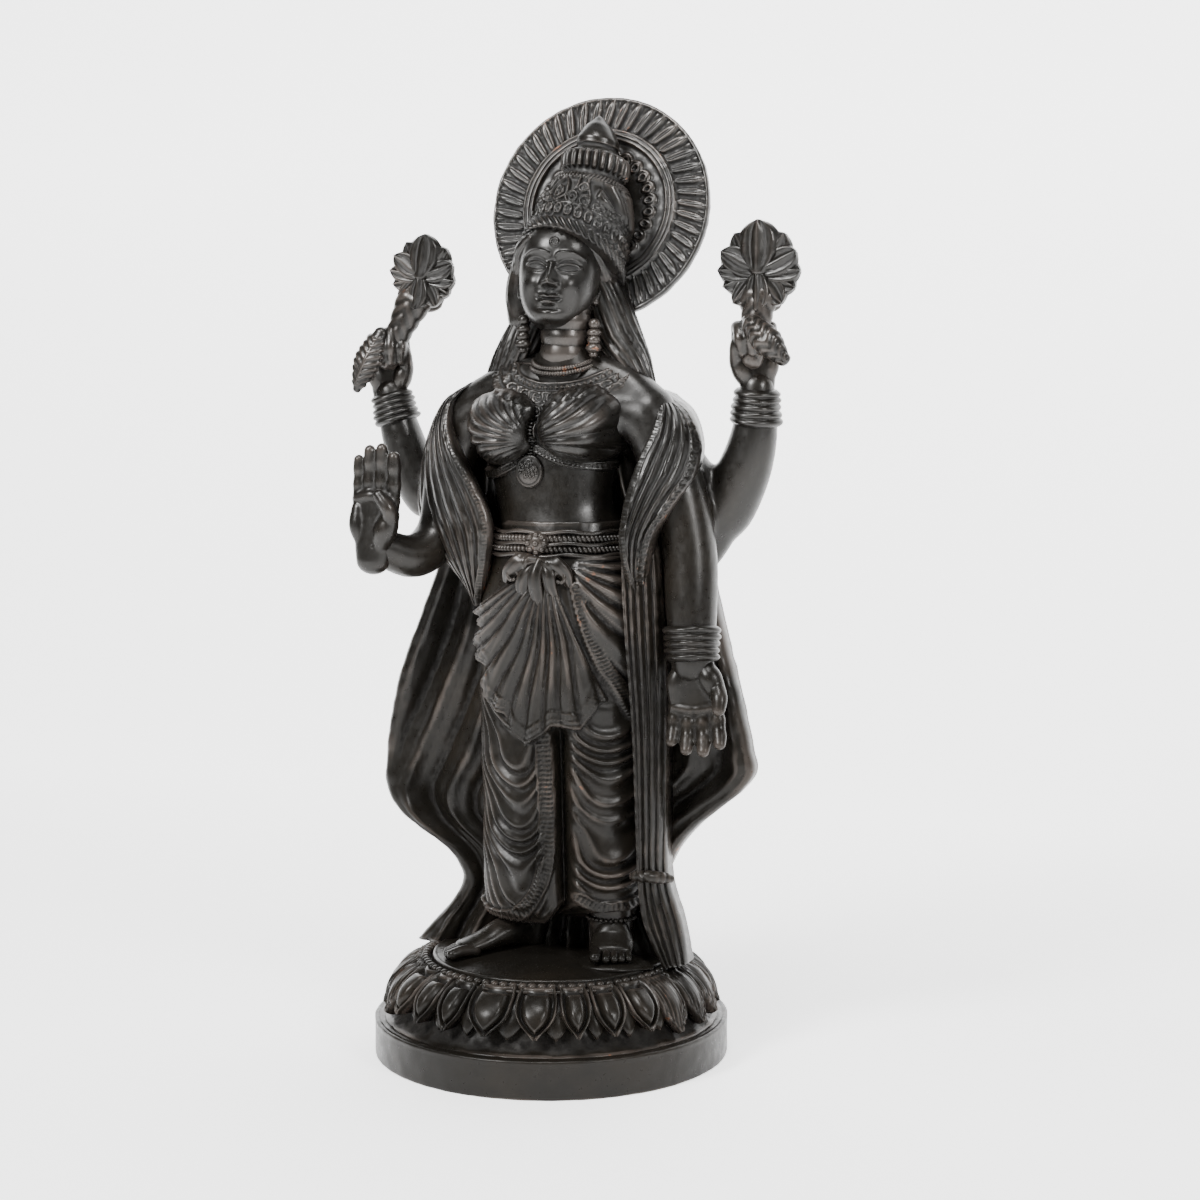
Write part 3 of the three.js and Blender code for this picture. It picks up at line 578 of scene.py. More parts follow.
def nearest(x, z, path, count=140):
    """Distance from each (x, z) to a curve, the length run along it, and on which side: + is left of its run."""
    line = curve([(p[0], p[1]) for p in path], count)
    along = unit(np.gradient(line, axis=0))
    length = np.concatenate([[0.0], np.cumsum(np.linalg.norm(np.diff(line, axis=0), axis=1))])
    shape = np.broadcast(x, z).shape
    p = np.stack([np.broadcast_to(x, shape).ravel(), np.broadcast_to(z, shape).ravel()], -1)
    gap = ((p[:, None, 0] - line[None, :, 0]) ** 2 + (p[:, None, 1] - line[None, :, 1]) ** 2).argmin(1)
    off = p - line[gap]
    run = length[gap] + np.einsum("ij,ij->i", off, along[gap])
    side = along[gap, 0] * off[:, 1] - along[gap, 1] * off[:, 0]
    beyond = np.maximum(np.maximum(-run, run - length[-1]), 0.0)
    distance = np.hypot(side, beyond)
    return distance.reshape(shape), run.reshape(shape), side.reshape(shape)


def border(x, z, path, width, pitch, height=0.7):
    """A raised border along a path: two thin edge lines and bars across between them."""
    distance, run, _ = nearest(x, z, path)
    inside = smooth(width + 0.5, width - 0.1, distance)
    lines = hill(distance - (width - 0.35), 0.38)
    bars = 0.8 * pillow(run / pitch, 2.0) * smooth(width - 0.5, width - 1.0, distance)
    return inside * height * (0.35 + 0.65 * np.maximum(lines, bars))


# Trunk

TRUNK = table([
    # height, middle x, middle y, half width, front, back
    [158, 6, 0, 33, 23, 22],
    [178, 5.5, 0, 28.5, 22, 19],
    [190, 3, 0, 25.5, 20, 16],
    [206, 1.5, 0, 28, 19, 16],
    [222, 1.5, 1, 34, 18, 17],
    [234, 3, 2, 40, 14.5, 16],
    [241, 4.5, 2.5, 36, 12, 14],
    [248, 5, 2.5, 20, 9, 11],
])
BREASTS = [(20.5, 223.0), (-16.5, 222.0)]
STERNUM = (-0.5, 217.5)
BLOUSE_HEM_LEFT = [(1.8, 213.5), (8, 210.4), (14.6, 208.2), (24.7, 206.9), (34, 208.5)]
BLOUSE_HEM_RIGHT = [(-29, 204.5), (-20, 203.2), (-12, 205.6), (-4.5, 209.8)]
YOKE = [
    (-20, 249), (-21.5, 241), (-16, 235), (-9, 232), (0.6, 229.4), (15.5, 233), (28.5, 236.8), (35, 240.5), (38, 245),
]
COLLAR_LINE = [(-12.7, 249), (-10.5, 244), (-3, 240.6), (4, 239.8), (16, 240.8), (25.5, 244.4), (31, 249)]


def bust(x, z):
    """How far both breasts stand out: 15.5 (1 - reach^2.4)^0.66 for each, within an oval round its middle."""
    total = 0.0
    for bx, bz in BREASTS:
        reach = np.hypot((x - bx) / 16.4, (z - bz) / np.where(z < bz, 12.6, 13.6))
        total = total + 15.5 * np.clip(1 - reach**2.4, 0.0, 1.0) ** 0.66
    return total


def trunk_front(x, z):
    """The y of the plain chest and belly."""
    mx, my, half, front, _ = np.moveaxis(TRUNK(np.asarray(z, float)), -1, 0)
    c = np.clip((x - mx) / half, -0.98, 0.98)
    s = np.sqrt(1 - c * c)
    return my - front * s - bust(x, z) * smooth(0.2, 0.7, s)


def blouse(x, z):
    """Where the blouse and the collar lie, 0 to 1, and their carving in millimetres.

    Grooves fan out from the breastbone over each cup, with hems, a hatched yoke and a collar in rings: a ridge, beads,
    a ridge and a row of leaves.
    """
    relief, cover = 0.0, 0.0
    for sign in (1, -1):
        dx = (x - STERNUM[0]) * sign
        angle = np.degrees(np.arctan2(z - STERNUM[1], np.maximum(dx, 1e-3)))
        reach = np.hypot(dx, z - STERNUM[1])
        cup = BREASTS[0] if sign > 0 else BREASTS[1]
        edge = np.hypot((x - cup[0]) / 16.8, (z - cup[1]) / np.where(z < cup[1], 13.0, 13.4))
        inside = smooth(1.04, 0.99, edge) * smooth(0.5, 2.0, dx)
        bend = angle - 0.022 * (reach - 12) ** 2 * np.clip(angle / 20.0, -1.2, 1.2)
        folds = 1.25 * (pillow(bend / 9.5 + 0.5, 1.5) - 0.45) * smooth(4, 10, reach) * smooth(1.0, 0.8, edge)
        relief = relief + inside * (0.9 + folds + 0.9 * hill(edge - 0.95, 0.05))
        cover = np.maximum(cover, inside)
    for hem in (BLOUSE_HEM_LEFT, BLOUSE_HEM_RIGHT):
        relief = relief + border(x, z, hem, 1.7, 1.6, 1.4)
        cover = np.maximum(cover, smooth(2.4, 2.0, nearest(x, z, hem)[0]))
    relief = relief + border(x, z, YOKE, 1.6, 1.5, 1.2)
    gap, _, above = nearest(x, z, YOKE)
    cover = np.maximum(cover, np.maximum(smooth(2.2, 1.8, gap), smooth(-0.5, 0.5, above)))
    distance, run, side = nearest(x, z, COLLAR_LINE)
    below = np.where(side < 0, distance, -distance)
    bead = np.hypot(in_cell(run, 2.3), below - 1.8)
    relief = relief + 1.1 * hill(distance, 0.6) + 1.4 * smooth(1.1, 0.5, bead) + 0.9 * hill(below - 3.7, 0.5)
    leaf = in_cell(run, 5.0)
    motif = np.hypot(leaf, (below - 6.0) * 0.8)
    spray = 1.3 * hill(motif - 1.7, 0.5) + 1.1 * hill(motif, 0.6)
    spray = spray + 0.9 * hill(np.hypot(np.abs(leaf) - 2.5, below - 7.6), 0.7)
    relief = relief + spray * between(4.2, 9.0, 0.3, below)
    eyelet = np.hypot(x - 0.4, z - 228.0)
    cover = np.maximum(cover, smooth(4.0, 3.6, eyelet))
    return cover, relief + 1.4 * hill(eyelet - 1.7, 0.55) + 1.0 * hill(eyelet, 0.6)


def trunk_grid(counts, low=176.0, high=248.0):
    """Points on the plain trunk, closest together over the chest, and the sine of their angles."""
    rows, cols = counts
    z = np.linspace(low, high, rows)[:, None]
    angle = from_back(cols, 0.62)
    mx, my, half, front, back = columns(TRUNK, z)
    c, s = np.cos(angle), np.sin(angle)
    x = mx + half * c
    y = my + s * np.where(s < 0, front, back) - bust(x, z) * smooth(0.2, 0.7, -s)
    return grid(x, y, z), s


def torso(bronze):
    """Trunk, shoulders and arms melted into one smooth skin."""
    parts = [skin(trunk_grid(TRUNK_GRID)[0])]
    parts += [loft(path, radii, rows=70, cols=28) for path, radii, _ in ARMS]
    parts += [loft(path, w, d, side=(0, 0, 1), rows=rows, cols=26) for path, w, d, rows in [
        # shoulders, then the muscles from the breastbone to the armpits
        ([[6, 3, 250], [-8, 3.5, 244], [-22, 3, 239], [-37, 1, 229]], [9, 8.5, 9, 10], [8, 9, 9.5, 10], 40),
        ([[8, 3, 250], [20, 3.5, 245], [32, 3, 240], [44, 0, 229]], [9, 8.5, 9, 11], [8, 9, 9.5, 11], 40),
        ([[14, -3, 234], [28, -4, 231], [40, -4, 226], [48, -3, 216]], [8, 9, 10, 9], [8, 8.5, 9, 9], 36),
        ([[-9, -3, 234], [-21, -4, 231], [-33, -4, 226], [-41, -3, 216]], [8, 9, 10, 9], [8, 8.5, 9, 9], 36),
    ]]
    parts.append(loft([[6.5, 0, 238], [7.3, -2, 252]], [15, 11], [12, 10], rows=16, cols=30))
    parts.append(loft([[59, 15, 191], [67, 16.5, 187], [75, 16, 195]], [11, 12.6, 11], rows=30, cols=26))
    parts.append(loft([[72, 16, 190], [66, 17, 178], [60, 17, 164]], [8, 9, 6], rows=30, cols=26))
    fused_piece("bare_trunk_and_arms", parts, bronze, TRUNK_VOXEL, 20)


# Neck, arms and hands

def neck(bronze):
    """A column with soft folds, and two rows of beads round its foot."""
    def folds(s, angle):
        """Creases round the front of the neck."""
        return 0.75 * pillow(s * 5.6, 1.5) * between(0.3, 0.9, 0.05, s) * smooth(0.6, -0.2, np.sin(angle))

    parts = [loft(
        [[6.5, 0, 236], [7.0, -2, 250], [7.8, -2.5, 262], [8.8, -3, 274]], [14, 9.8, 9.6, 10], [11, 9.6, 9.6, 10],
        rows=110, cols=56, relief=folds,
    )]
    angle = np.radians(np.linspace(-200, 20, 46))
    for shift, phase in ((0.0, 0.0), (-2.0, 0.5)):
        a = angle + phase * (angle[1] - angle[0])
        middles = grid(
            6.6 + (13.0 - shift * 0.4) * np.cos(a), -0.5 + (12.2 - shift * 0.5) * np.sin(a),
            246.2 + shift + 4.6 * (1 + np.sin(a)),
        )
        outward = grid(np.cos(a), np.sin(a), 0.5)
        parts.append(beads(middles, (0.95, 1.15, 1.2), np.gradient(middles, axis=0), outward))
    piece("neck_and_choker", parts, bronze, rough=0.03, seed=22)


def blouse_piece(bronze):
    """The carved cloth and collar, a little proud of the skin, and sunk into the body elsewhere."""
    points, s = trunk_grid(BLOUSE_GRID, 198.0, 249.0)
    cover, relief = blouse(points[..., 0], points[..., 2])
    cover = cover * smooth(0.0, 0.12, -s)
    piece("blouse_and_collar", [skin(raised(points, lerp(-5.0, 0.9 + relief, cover)))], bronze, rough=0.03, seed=21)


ARMS = [
    # path, radii, where the bangles sit as a share of the length, or None
    ([[-36, -1, 226], [-45, -2, 205], [-49, -4, 178], [-55, -17, 168], [-65, -30, 173]], [11, 10.5, 10, 9.5, 8], None),
    ([[43, -1, 227], [54, -2, 205], [62, -4, 175], [64.5, -8, 150], [66, -11, 127]], [12, 12, 11.5, 11, 9], 0.93),
    ([[42, 8, 226], [57, 14, 198], [67, 17, 186], [77, 16, 199], [84, 14, 218], [86, 12, 239]],
     [11, 12, 13, 12, 10, 7.5], 0.93),
    ([[-36, 8, 226], [-50, 12, 200], [-59, 14, 191], [-67, 14, 199], [-74, 13, 218], [-79, 12, 237]],
     [10, 11, 11, 10.5, 9, 7.2], 0.93),
]


def bangles(bronze):
    """Five low rings in a sleeve on three of the forearms."""
    parts = []
    for path, radii, at in ARMS:
        if at is None:
            continue
        line = curve(path, 200)
        first, final = int((at - 0.07) * 199), int(min(at + 0.06, 1.0) * 199)
        share = np.linspace(at - 0.07, min(at + 0.06, 1.0), 9)
        girth = [float(r) + 0.9 for r in spread(radii, share)]
        rings = lambda s, angle: 1.0 * pillow(s * 5.0, 2.0) + 0.25 * np.sin(3 * angle + 9 * s)
        parts.append(loft(line[first : final + 1 : 2], girth, rows=70, cols=52, relief=rings, blunt=0.1))
    piece("bangles", parts, bronze, rough=0.05, seed=23)


def finger(path, thick):
    """A finger along a path: a little fuller at the base, at both joints and before the tip."""
    girth = [1.08, 0.98, 0.96, 1.06, 0.94, 0.9, 0.99, 0.9, 0.8]
    return loft(path, [thick * g for g in girth], rows=26, cols=16)


def hand(curl, fan, thumb, closed):
    """A hand in its own frame: fingers along +Y, palm towards +Z, thumb on +X, wrist at the origin."""
    parts = [
        loft([[0, -6, 0], [0, 4, 0], [0.2, 12, 0], [0.5, 20.5, 0]], [7.2, 8.6, 10.2, 10.6], [5.6, 5.2, 4.3, 3.5],
             rows=30, cols=28),
        loft([[4.0, 0, 1.6], [6.8, 7, 2.8], [8.8, 13, 2.8]], [3.2, 4.8, 3.6], rows=18, cols=18),
        loft([[-4.4, 1, 1.2], [-6.6, 8, 1.7], [-7.0, 15, 1.2]], [2.8, 3.8, 3.0], rows=18, cols=18),
        loft([[-7.2, 19, 1.2], [0, 20.5, 1.5], [7.4, 19.5, 1.2]], [2.4, 2.8, 2.4], rows=18, cols=16),
    ]
    for x, reach, thick in ((7.9, 18, 2.95), (2.7, 21, 3.05), (-2.6, 20, 3.0), (-7.6, 16, 2.7)):
        if closed:
            k = reach / 20.0
            path = [
                [x, 18, 0], [x * 0.98, 24 + 2 * k, 1.5], [x * 0.95, 26 * k + 2, 7 * k], [x * 0.9, 21, 10.5 * k],
                [x * 0.85, 15, 8.5 * k],
            ]
        else:
            lean = math.radians(x / 7.5 * fan)
            path = []
            for far in np.linspace(0.0, reach, 5):
                bend = math.radians(curl * far * 0.05 * far / reach * 1.6)
                rise = far * math.sin(bend)
                path.append([x + math.sin(lean) * far, 18.5 + math.cos(lean) * far * math.cos(bend), rise])
        parts.append(finger(path, thick))
    root = [[5, 4, 1.5], [8.5, 9.5, 2.8]]
    parts.append(loft(root + thumb, [3.4, 3.8, 3.2, 3.2, 2.5], rows=26, cols=18))
    return parts


HANDS = [
    # wrist, fingers point to, palm faces, mirror, size across, along and through, (curl, fan, thumb, closed)
    ((-66.5, -32, 173), (0.05, 0.02, 1), (-0.05, -1, 0.1), 1, (1.03, 1.03, 1.03),
     (3, 1, [[9.0, 15, 5.2], [4.5, 21, 6.0]], False)),
    ((66.3, -11, 127), (0.08, -0.1, -1), (0.1, -1, 0), -1, (1.08, 0.92, 0.95),
     (8, 5, [[10.5, 15, 6.0], [10.5, 21, 8.0]], False)),
    ((86, 12, 240), (-0.05, -0.05, 1), (0.35, -1, 0), -1, (0.9, 0.9, 0.9), (0, 0, [[9, 16, 6], [7, 24, 7]], True)),
    ((-79.5, 12, 237), (0, -0.05, 1), (0.35, -1, 0), 1, (0.9, 0.9, 0.9), (0, 0, [[9, 16, 6], [7, 24, 7]], True)),
]


def hands(bronze):
    """The four hands, each turned from its own frame to its wrist."""
    for k, (wrist, fingers, palm, flip, size, pose) in enumerate(HANDS):
        y = unit(np.array(fingers, float))
        z = np.array(palm, float)
        z = unit(z - z.dot(y) * y)
        matrix = np.column_stack([np.cross(y, z) * flip, y, z]) * np.array(size)
        parts = [moved(part, matrix, wrist) for part in hand(*pose)]
        fused_piece("hand_%d" % (k + 1), parts, bronze, HAND_VOXEL, 2)


# Head, in its own frame: the face looks along -Y, and the eyes lie near the middle height

HEAD_MIDDLE = (4.6, 0.5, 283.8)
HEAD_YAW = 8.0
HEAD_PITCH = 10.0
HEAD_ROLL = 5.0
SKULL = table([
    # height, half width, depth of the front, depth of the back
    [-23.0, 2.5, 8.0, 3.0],
    [-21.8, 6.6, 14.0, 8.0],
    [-18.5, 10.8, 16.4, 12.0],
    [-14.0, 13.8, 17.0, 15.0],
    [-8.0, 15.8, 17.8, 17.0],
    [-1.0, 16.8, 18.4, 18.5],
    [6.0, 17.0, 18.8, 19.5],
    [13.0, 16.2, 18.4, 19.0],
    [18.0, 13.4, 15.6, 16.0],
    [22.0, 7.0, 8.0, 8.0],
    [23.0, 2.0, 2.5, 2.5],
])


def features(x, z):
    """A calm, plain face as heights over the skull.

    It keeps the usual thirds, and the pupils lie two fifths of the face's width apart, under long almond lids.
    """
    a = np.abs(x)
    nose_run = between(-7.6, 3.0, 0.8, z)
    nose = (1.6 + 3.4 * smooth(4.0, -6.0, z)) * hill(x, lerp(1.7, 2.5, smooth(2.0, -6.0, z))) * nose_run
    nose = nose + 1.2 * dome(x, z + 5.9, 2.0, 1.8)
    wings = 1.8 * dome(a - 2.7, z + 6.5, 1.3, 1.4)
    nostrils = -1.0 * dome(a - 1.5, z + 7.9, 0.8, 0.5)
    mound = 1.4 * dome(x, z + 12.2, 5.6, 3.6)
    groove = -0.45 * hill(x, 0.8) * between(-10.2, -8.6, 0.5, z)
    smile = -12.6 + 0.035 * x * x
    upper = 1.9 * np.exp(-((a / 3.7) ** 4)) * hill(z - (smile + 1.1 - 0.35 * hill(x, 0.8)), 0.85)
    lower = 2.3 * np.exp(-((a / 3.1) ** 4)) * hill(z - (smile - 1.35), 1.1)
    mouth = -1.2 * np.exp(-((a / 4.2) ** 6)) * hill(z - smile, 0.34)
    mouth = mouth - 0.8 * hill(a - 4.6, 0.8) * hill(z - smile, 0.8)
    chin = 2.2 * dome(x, z + 18.8, 4.8, 2.9) - 0.9 * hill(x, 4.0) * hill(z + 15.9, 0.9)
    cheek = 1.9 * dome(a - 8.6, z + 6.0, 4.6, 4.8)
    e = a - 6.7
    socket = -2.4 * dome(e, z - 1.4, 4.8, 3.1)
    arch = np.clip(1 - (e / 4.5) ** 2, 0, 1)
    top = 0.7 + 1.5 * arch + 0.12 * e
    low = 0.7 - 1.25 * arch + 0.12 * e
    ball = 1.7 * dome(e, z - 0.9, 3.6, 2.2)
    slit = -0.55 * np.sqrt(arch) * smooth(-0.15, 0.35, top - z) * smooth(-0.15, 0.35, z - low)
    lid_top = 0.9 * hill(z - (top + 0.45), 0.65) * smooth(5.4, 4.4, np.abs(e))
    lid_low = 0.55 * hill(z - (low - 0.35), 0.55) * smooth(4.9, 3.9, np.abs(e))
    fold = -0.4 * hill(z - (top + 1.6), 0.4) * smooth(4.8, 3.6, np.abs(e))
    fold = fold + 0.35 * hill(z - (top + 2.3), 0.6) * smooth(5.0, 3.8, np.abs(e))
    arc = 5.5 + 1.7 * np.clip(1 - ((a - 6.6) / 6.2) ** 2, -0.7, 1)
    brow = 0.75 * hill(z - arc, 0.55) * between(1.2, 12.6, 0.8, a)
    brow = brow + 0.8 * hill(z - arc + 0.7, 2.0) * between(1.6, 11.0, 1.5, a)
    mark = 1.0 * hill(np.hypot(x, z - 11.0) - 1.5, 0.42) + 0.8 * hill(np.hypot(x, z - 11.0), 0.5)
    face = nose + wings + nostrils + mound + groove + upper + lower + mouth + chin + cheek
    return face + socket + ball + slit + lid_top + lid_low + fold + brow + mark


def in_head(points):
    """Points from the head's own frame, tipped, turned and rolled into their place."""
    roll = math.radians(HEAD_ROLL)
    about_front = np.array([[math.cos(roll), 0, math.sin(roll)], [0, 1, 0], [-math.sin(roll), 0, math.cos(roll)]])
    return points @ (about_front @ turned(HEAD_YAW) @ tipped(-HEAD_PITCH)).T + np.array(HEAD_MIDDLE)


def strands(depth, count, slant, waver, times):
    """A relief of count strands along a lock: depth * pillow(count * angle / 2 pi + slant s + waver sin(times s))."""
    def relief(s, angle):
        return depth * pillow(angle * count / (2 * math.pi) + slant * s + waver * np.sin(times * s), 1.7)

    return relief


def head(bronze):
    """The head under the crown, with an ear and two bundles of hair on each side."""
    rows, cols = HEAD_GRID
    lift = np.linspace(-1, 1, rows)
    z = (-23.0 + 46.0 * (0.5 + 0.5 * (0.72 * lift + 0.28 * np.sin(lift * math.pi / 2))))[:, None]
    angle = from_back(cols, 0.62)
    half, front, back = columns(SKULL, z)
    s = np.sin(angle)
    x = half * np.sign(np.cos(angle)) * np.abs(np.cos(angle)) ** 0.92
    bare = np.where(s < 0, -front * np.abs(s) ** 0.86, back * np.abs(s))
    y = bare - features(x, z) * smooth(0.12, 0.5, -s)
    parts = [skin(in_head(grid(x, y, z)))]
    combed = strands(0.55, 13, 1.3, 0.2, 7)
    beside = [
        # an ear and two bundles of hair: path on her left, girth, relief
        ([[16.0, 1.5, 4.0], [17.2, 2.6, 1.0], [16.6, 1.0, -4.5], [15.6, 0.0, -8.5]], [1.2, 1.6, 1.5, 2.0], None),
        ([[11.0, -12.4, 13.5], [14.0, -8.2, 11.5], [16.4, -2.8, 8.0], [17.6, 4.0, 2.0]], [1.8, 3.2, 3.6, 4.0], combed),
        ([[15.5, 3.0, 10.0], [17.2, 6.0, 2.0], [17.6, 8.5, -7.0], [16.5, 9.0, -17.0]], [4.0, 6.0, 6.6, 5.5], combed),
    ]
    for side in (1, -1):
        for path, girth, relief in beside:
            path = [[px * side, py, pz] for px, py, pz in path]
            v, q, t = loft(path, girth, rows=60, cols=48, relief=relief)
            parts.append((in_head(v), q, t))
    piece("head_and_face", parts, bronze, rough=0.0)


# Crown

CROWN_FOOT = np.array([9.2, 5.5, 297.6])
CROWN_TIP = np.array([15.5, 18.0, 352.0])
CROWN_YAW = -15.0
CROWN_LENGTH = float(np.linalg.norm(CROWN_TIP - CROWN_FOOT))
CROWN_TIERS = table([
    # share of the axis, radius
    [0.0, 20.0],
    [0.03, 22.0],
    [0.09, 21.8],
    [0.12, 20.6],
    [0.28, 19.8],
    [0.42, 16.6],
    [0.46, 15.0],
    [0.49, 12.8],
    [0.52, 12.4],
    [0.55, 13.8],
    [0.64, 13.9],
    [0.69, 11.6],
    [0.73, 8.6],
    [0.76, 9.4],
    [0.8, 9.4],
    [0.9, 6.2],
    [0.96, 3.0],
    [1.0, 0.6],
])


def crown_relief(s, angle):
    """Relief by the share of the axis and the angle from the front, in millimetres.

    From the brim up: a twisted rope, drops, a bead line, a pear between spirals with leaf scrolls, plain turban folds
    at the sides, a hatched ring, a fluted ball and a plain point.
    """
    radius = CROWN_TIERS(s)[..., 0]
    x = angle * radius
    a = np.abs(x)
    h = s * CROWN_LENGTH
    twist = 2.0 * (pillow((x + 1.2 * h) / 3.4, 1.8) - 0.3) * between(0.015, 0.1, 0.006, s)
    drop = np.hypot(in_cell(x, 4.4), (h - 0.162 * CROWN_LENGTH) * 0.62)
    drops = (1.9 * hill(drop - 1.35, 0.5) + 1.5 * hill(drop, 0.55)) * between(0.118, 0.206, 0.005, s)
    line = 1.3 * hill(h - 0.215 * CROWN_LENGTH, 0.6)
    body = between(0.225, 0.42, 0.006, s)
    pear = 4.0 * np.clip((0.415 - s) / 0.13, 0.0, 1.0) ** 0.6 * smooth(0.215, 0.28, s)
    motif = 2.1 * hill(a - pear, 0.75)
    eye = np.hypot(x, (h - 0.30 * CROWN_LENGTH) * 0.7)
    motif = motif + 1.9 * hill(eye - 1.6, 0.5) + 1.6 * hill(eye, 0.5)
    spirals = 0.0
    for at, up, size in ((6.2, 0.262, 2.2), (12.0, 0.255, 1.9), (9.3, 0.345, 1.7)):
        r = np.hypot(a - at, h - up * CROWN_LENGTH)
        spirals = spirals + 2.0 * hill(r - size, 0.65) + 1.7 * hill(r, 0.8)
    rise = smooth(0.26, 0.41, s)
    scrolls = 1.9 * hill(a - 4.6 - 1.4 * rise - 1.2 * np.sin(3.1 * rise), 0.65) * smooth(0.27, 0.29, s)
    scrolls = scrolls + 1.8 * hill(a - 14.0 + 4.4 * rise, 0.75) * smooth(0.27, 0.29, s)
    front = np.where(a < pear + 0.8, motif, np.maximum(np.maximum(spirals, scrolls), motif))
    mesh = 1.3 * np.maximum(pillow((x + h) / 2.8, 1.6), pillow((x - h) / 2.8, 1.6)) - 0.2
    folds = 3.6 * (pillow((a * 0.55 + h) / 6.2, 2.2) - 0.4)
    sides = lerp(mesh, folds, smooth(0.27, 0.3, s))
    hatched = (0.6 + 1.2 * pillow(x / 1.5, 1.6)) * between(0.43, 0.468, 0.006, s)
    hatched = hatched + 1.1 * hill(h - 0.425 * CROWN_LENGTH, 0.5)
    flutes = 2.5 * (pillow(angle * 26 / (2 * math.pi), 1.8) - 0.5) * between(0.53, 0.67, 0.02, s)
    point = 0.6 * hill(h - 0.745 * CROWN_LENGTH, 0.4)
    body = lerp(front, sides, smooth(15.2, 16.2, a)) * body
    return twist + drops + line + body + hatched + flutes + point


def crown(bronze):
    """The tiers round the leaning axis; the lower ones also dip towards the nape."""
    rows, cols = CROWN_GRID
    s = np.linspace(0.0, 0.995, rows)[:, None]
    turn = np.linspace(-math.pi, math.pi, cols, endpoint=False)[None, :]
    up = unit(CROWN_TIP - CROWN_FOOT)
    across = unit(np.array([1.0, 0, 0]) - up[0] * up)
    back = np.cross(up, across)
    s_grid, a_grid = np.broadcast_arrays(s, turn - 0.5 * np.sin(turn))
    angle = a_grid - math.pi / 2 + math.radians(CROWN_YAW)
    radius = CROWN_TIERS(s_grid)[..., 0]
    dip = -0.4 * smooth(0.6, 0.1, s_grid) * radius * (1 + np.sin(angle))
    dip = dip - 0.12 * smooth(0.5, 0.0, s_grid) * radius * np.cos(angle)
    sway = 2.5 * np.sin(np.pi * s_grid)
    middle = CROWN_FOOT + (CROWN_TIP - CROWN_FOOT) * s_grid[..., None] + up * dip[..., None]
    points = middle + across * (np.cos(angle) * radius + sway)[..., None] + back * (np.sin(angle) * radius)[..., None]
    piece("crown", [skin(raised(points, crown_relief(s_grid, a_grid) - 0.6))], bronze, rough=0.04, seed=31)


def hair(bronze):
    """Combed hair that falls behind the ears onto the shoulders, and the plain fall at the back."""
    combed = strands(0.9, 15, 1.6, 0.25, 9)
    locks = [
        # path, widths, depths, columns
        ([[-6, 10, 284], [-9, 8, 270], [-15, 5, 257], [-22, 4, 246], [-27, 5, 238]],
         [6.6, 7.4, 8.0, 7.0, 4.0], [8, 8.0, 7, 6, 4], 80),
        ([[16.5, 12, 288], [22, 11, 272], [28, 8, 258], [35, 6, 246], [40, 6, 236]],
         [7.6, 8.6, 9.4, 8.0, 4.5], [9, 9.4, 8, 7, 4], 88),
        ([[11, 15, 300], [10, 17, 278], [9, 17, 252], [9, 17, 222]], [15, 20, 27, 25], [10, 9.5, 9, 7.5], 110),
    ]
    parts = [loft(path, w, d, rows=84, cols=n, relief=combed) for path, w, d, n in locks]
    piece("combed_hair", parts, bronze, rough=0.04, seed=32)


def earrings(bronze):
    """A round stud, a neck and a lower drum with a button on each side."""
    drops = [
        # how far down, half sizes
        (0.0, (2.6, 2.6, 2.4)), (-3.6, (3.3, 3.3, 1.9)), (-6.6, (3.0, 3.0, 2.4)), (-9.8, (3.6, 3.6, 2.3)),
        (-12.4, (2.0, 2.0, 1.5)),
    ]
    parts = []
    for x, y, z in ((-9.8, -5.0, 266.5), (21.4, -5.0, 264.6)):
        parts += [beads([[x, y + 0.1 * drop, z + drop]], size, [[1, 0, 0]], [[0, 0, 1]]) for drop, size in drops]
    piece("earrings", parts, bronze, rough=0.0)


# Skirt

SKIRT = table([
    # height, middle x, middle y, half width, front, back
    [13, 4, 0, 29, 17, 14],
    [20, 5, 0, 33, 21, 17],
    [50, 5, 0, 33, 23, 18],
    [83, 6, 0, 34.5, 25, 20],
    [118, 6, 0, 35.5, 27, 22],
    [150, 6, 0, 35.5, 27, 24],
    [166, 6, 0, 32, 24.5, 22],
    [184, 5.5, 0, 27.5, 21.5, 18],
])
KNOT = (8.0, 168.0)
HIP_KNOT = (14.0, 169.0)
GIRDLE_LOW = 170.0
APRON_HEM = table([
    # angle from straight down, reach from the knot
    [-60, 36],
    [-46, 44],
    [-26, 60],
    [-7, 73],
    [6, 69],
    [27, 61],
])
HIP_BORDER = [(20, 158), (24.4, 141.2), (29, 128), (35, 116.8), (43, 96.9)]
FRONT_BORDER = [(5.0, 106), (7.0, 92), (7.6, 72), (7.6, 52), (4.5, 34), (-5.0, 20), (-20.3, 16.6), (-28.5, 20)]
LEFT_HEM = [(19.5, 28.5), (28, 24.0), (37, 24.5), (44.5, 29)]


def from_point(point, x, z):
    """The angle from straight down, in degrees, and the distance of (x, z) from a point."""
    return np.degrees(np.arctan2(x - point[0], point[1] - z)), np.hypot(x - point[0], z - point[1])


def cords(t, power=1.9):
    """Rounded cords at whole numbers with wide shallow valleys between: sin(pi/2 * |2 frac(t) - 1| ** power)."""
    return np.sin(0.5 * np.pi * np.abs(2.0 * (t - np.floor(t)) - 1.0) ** power)


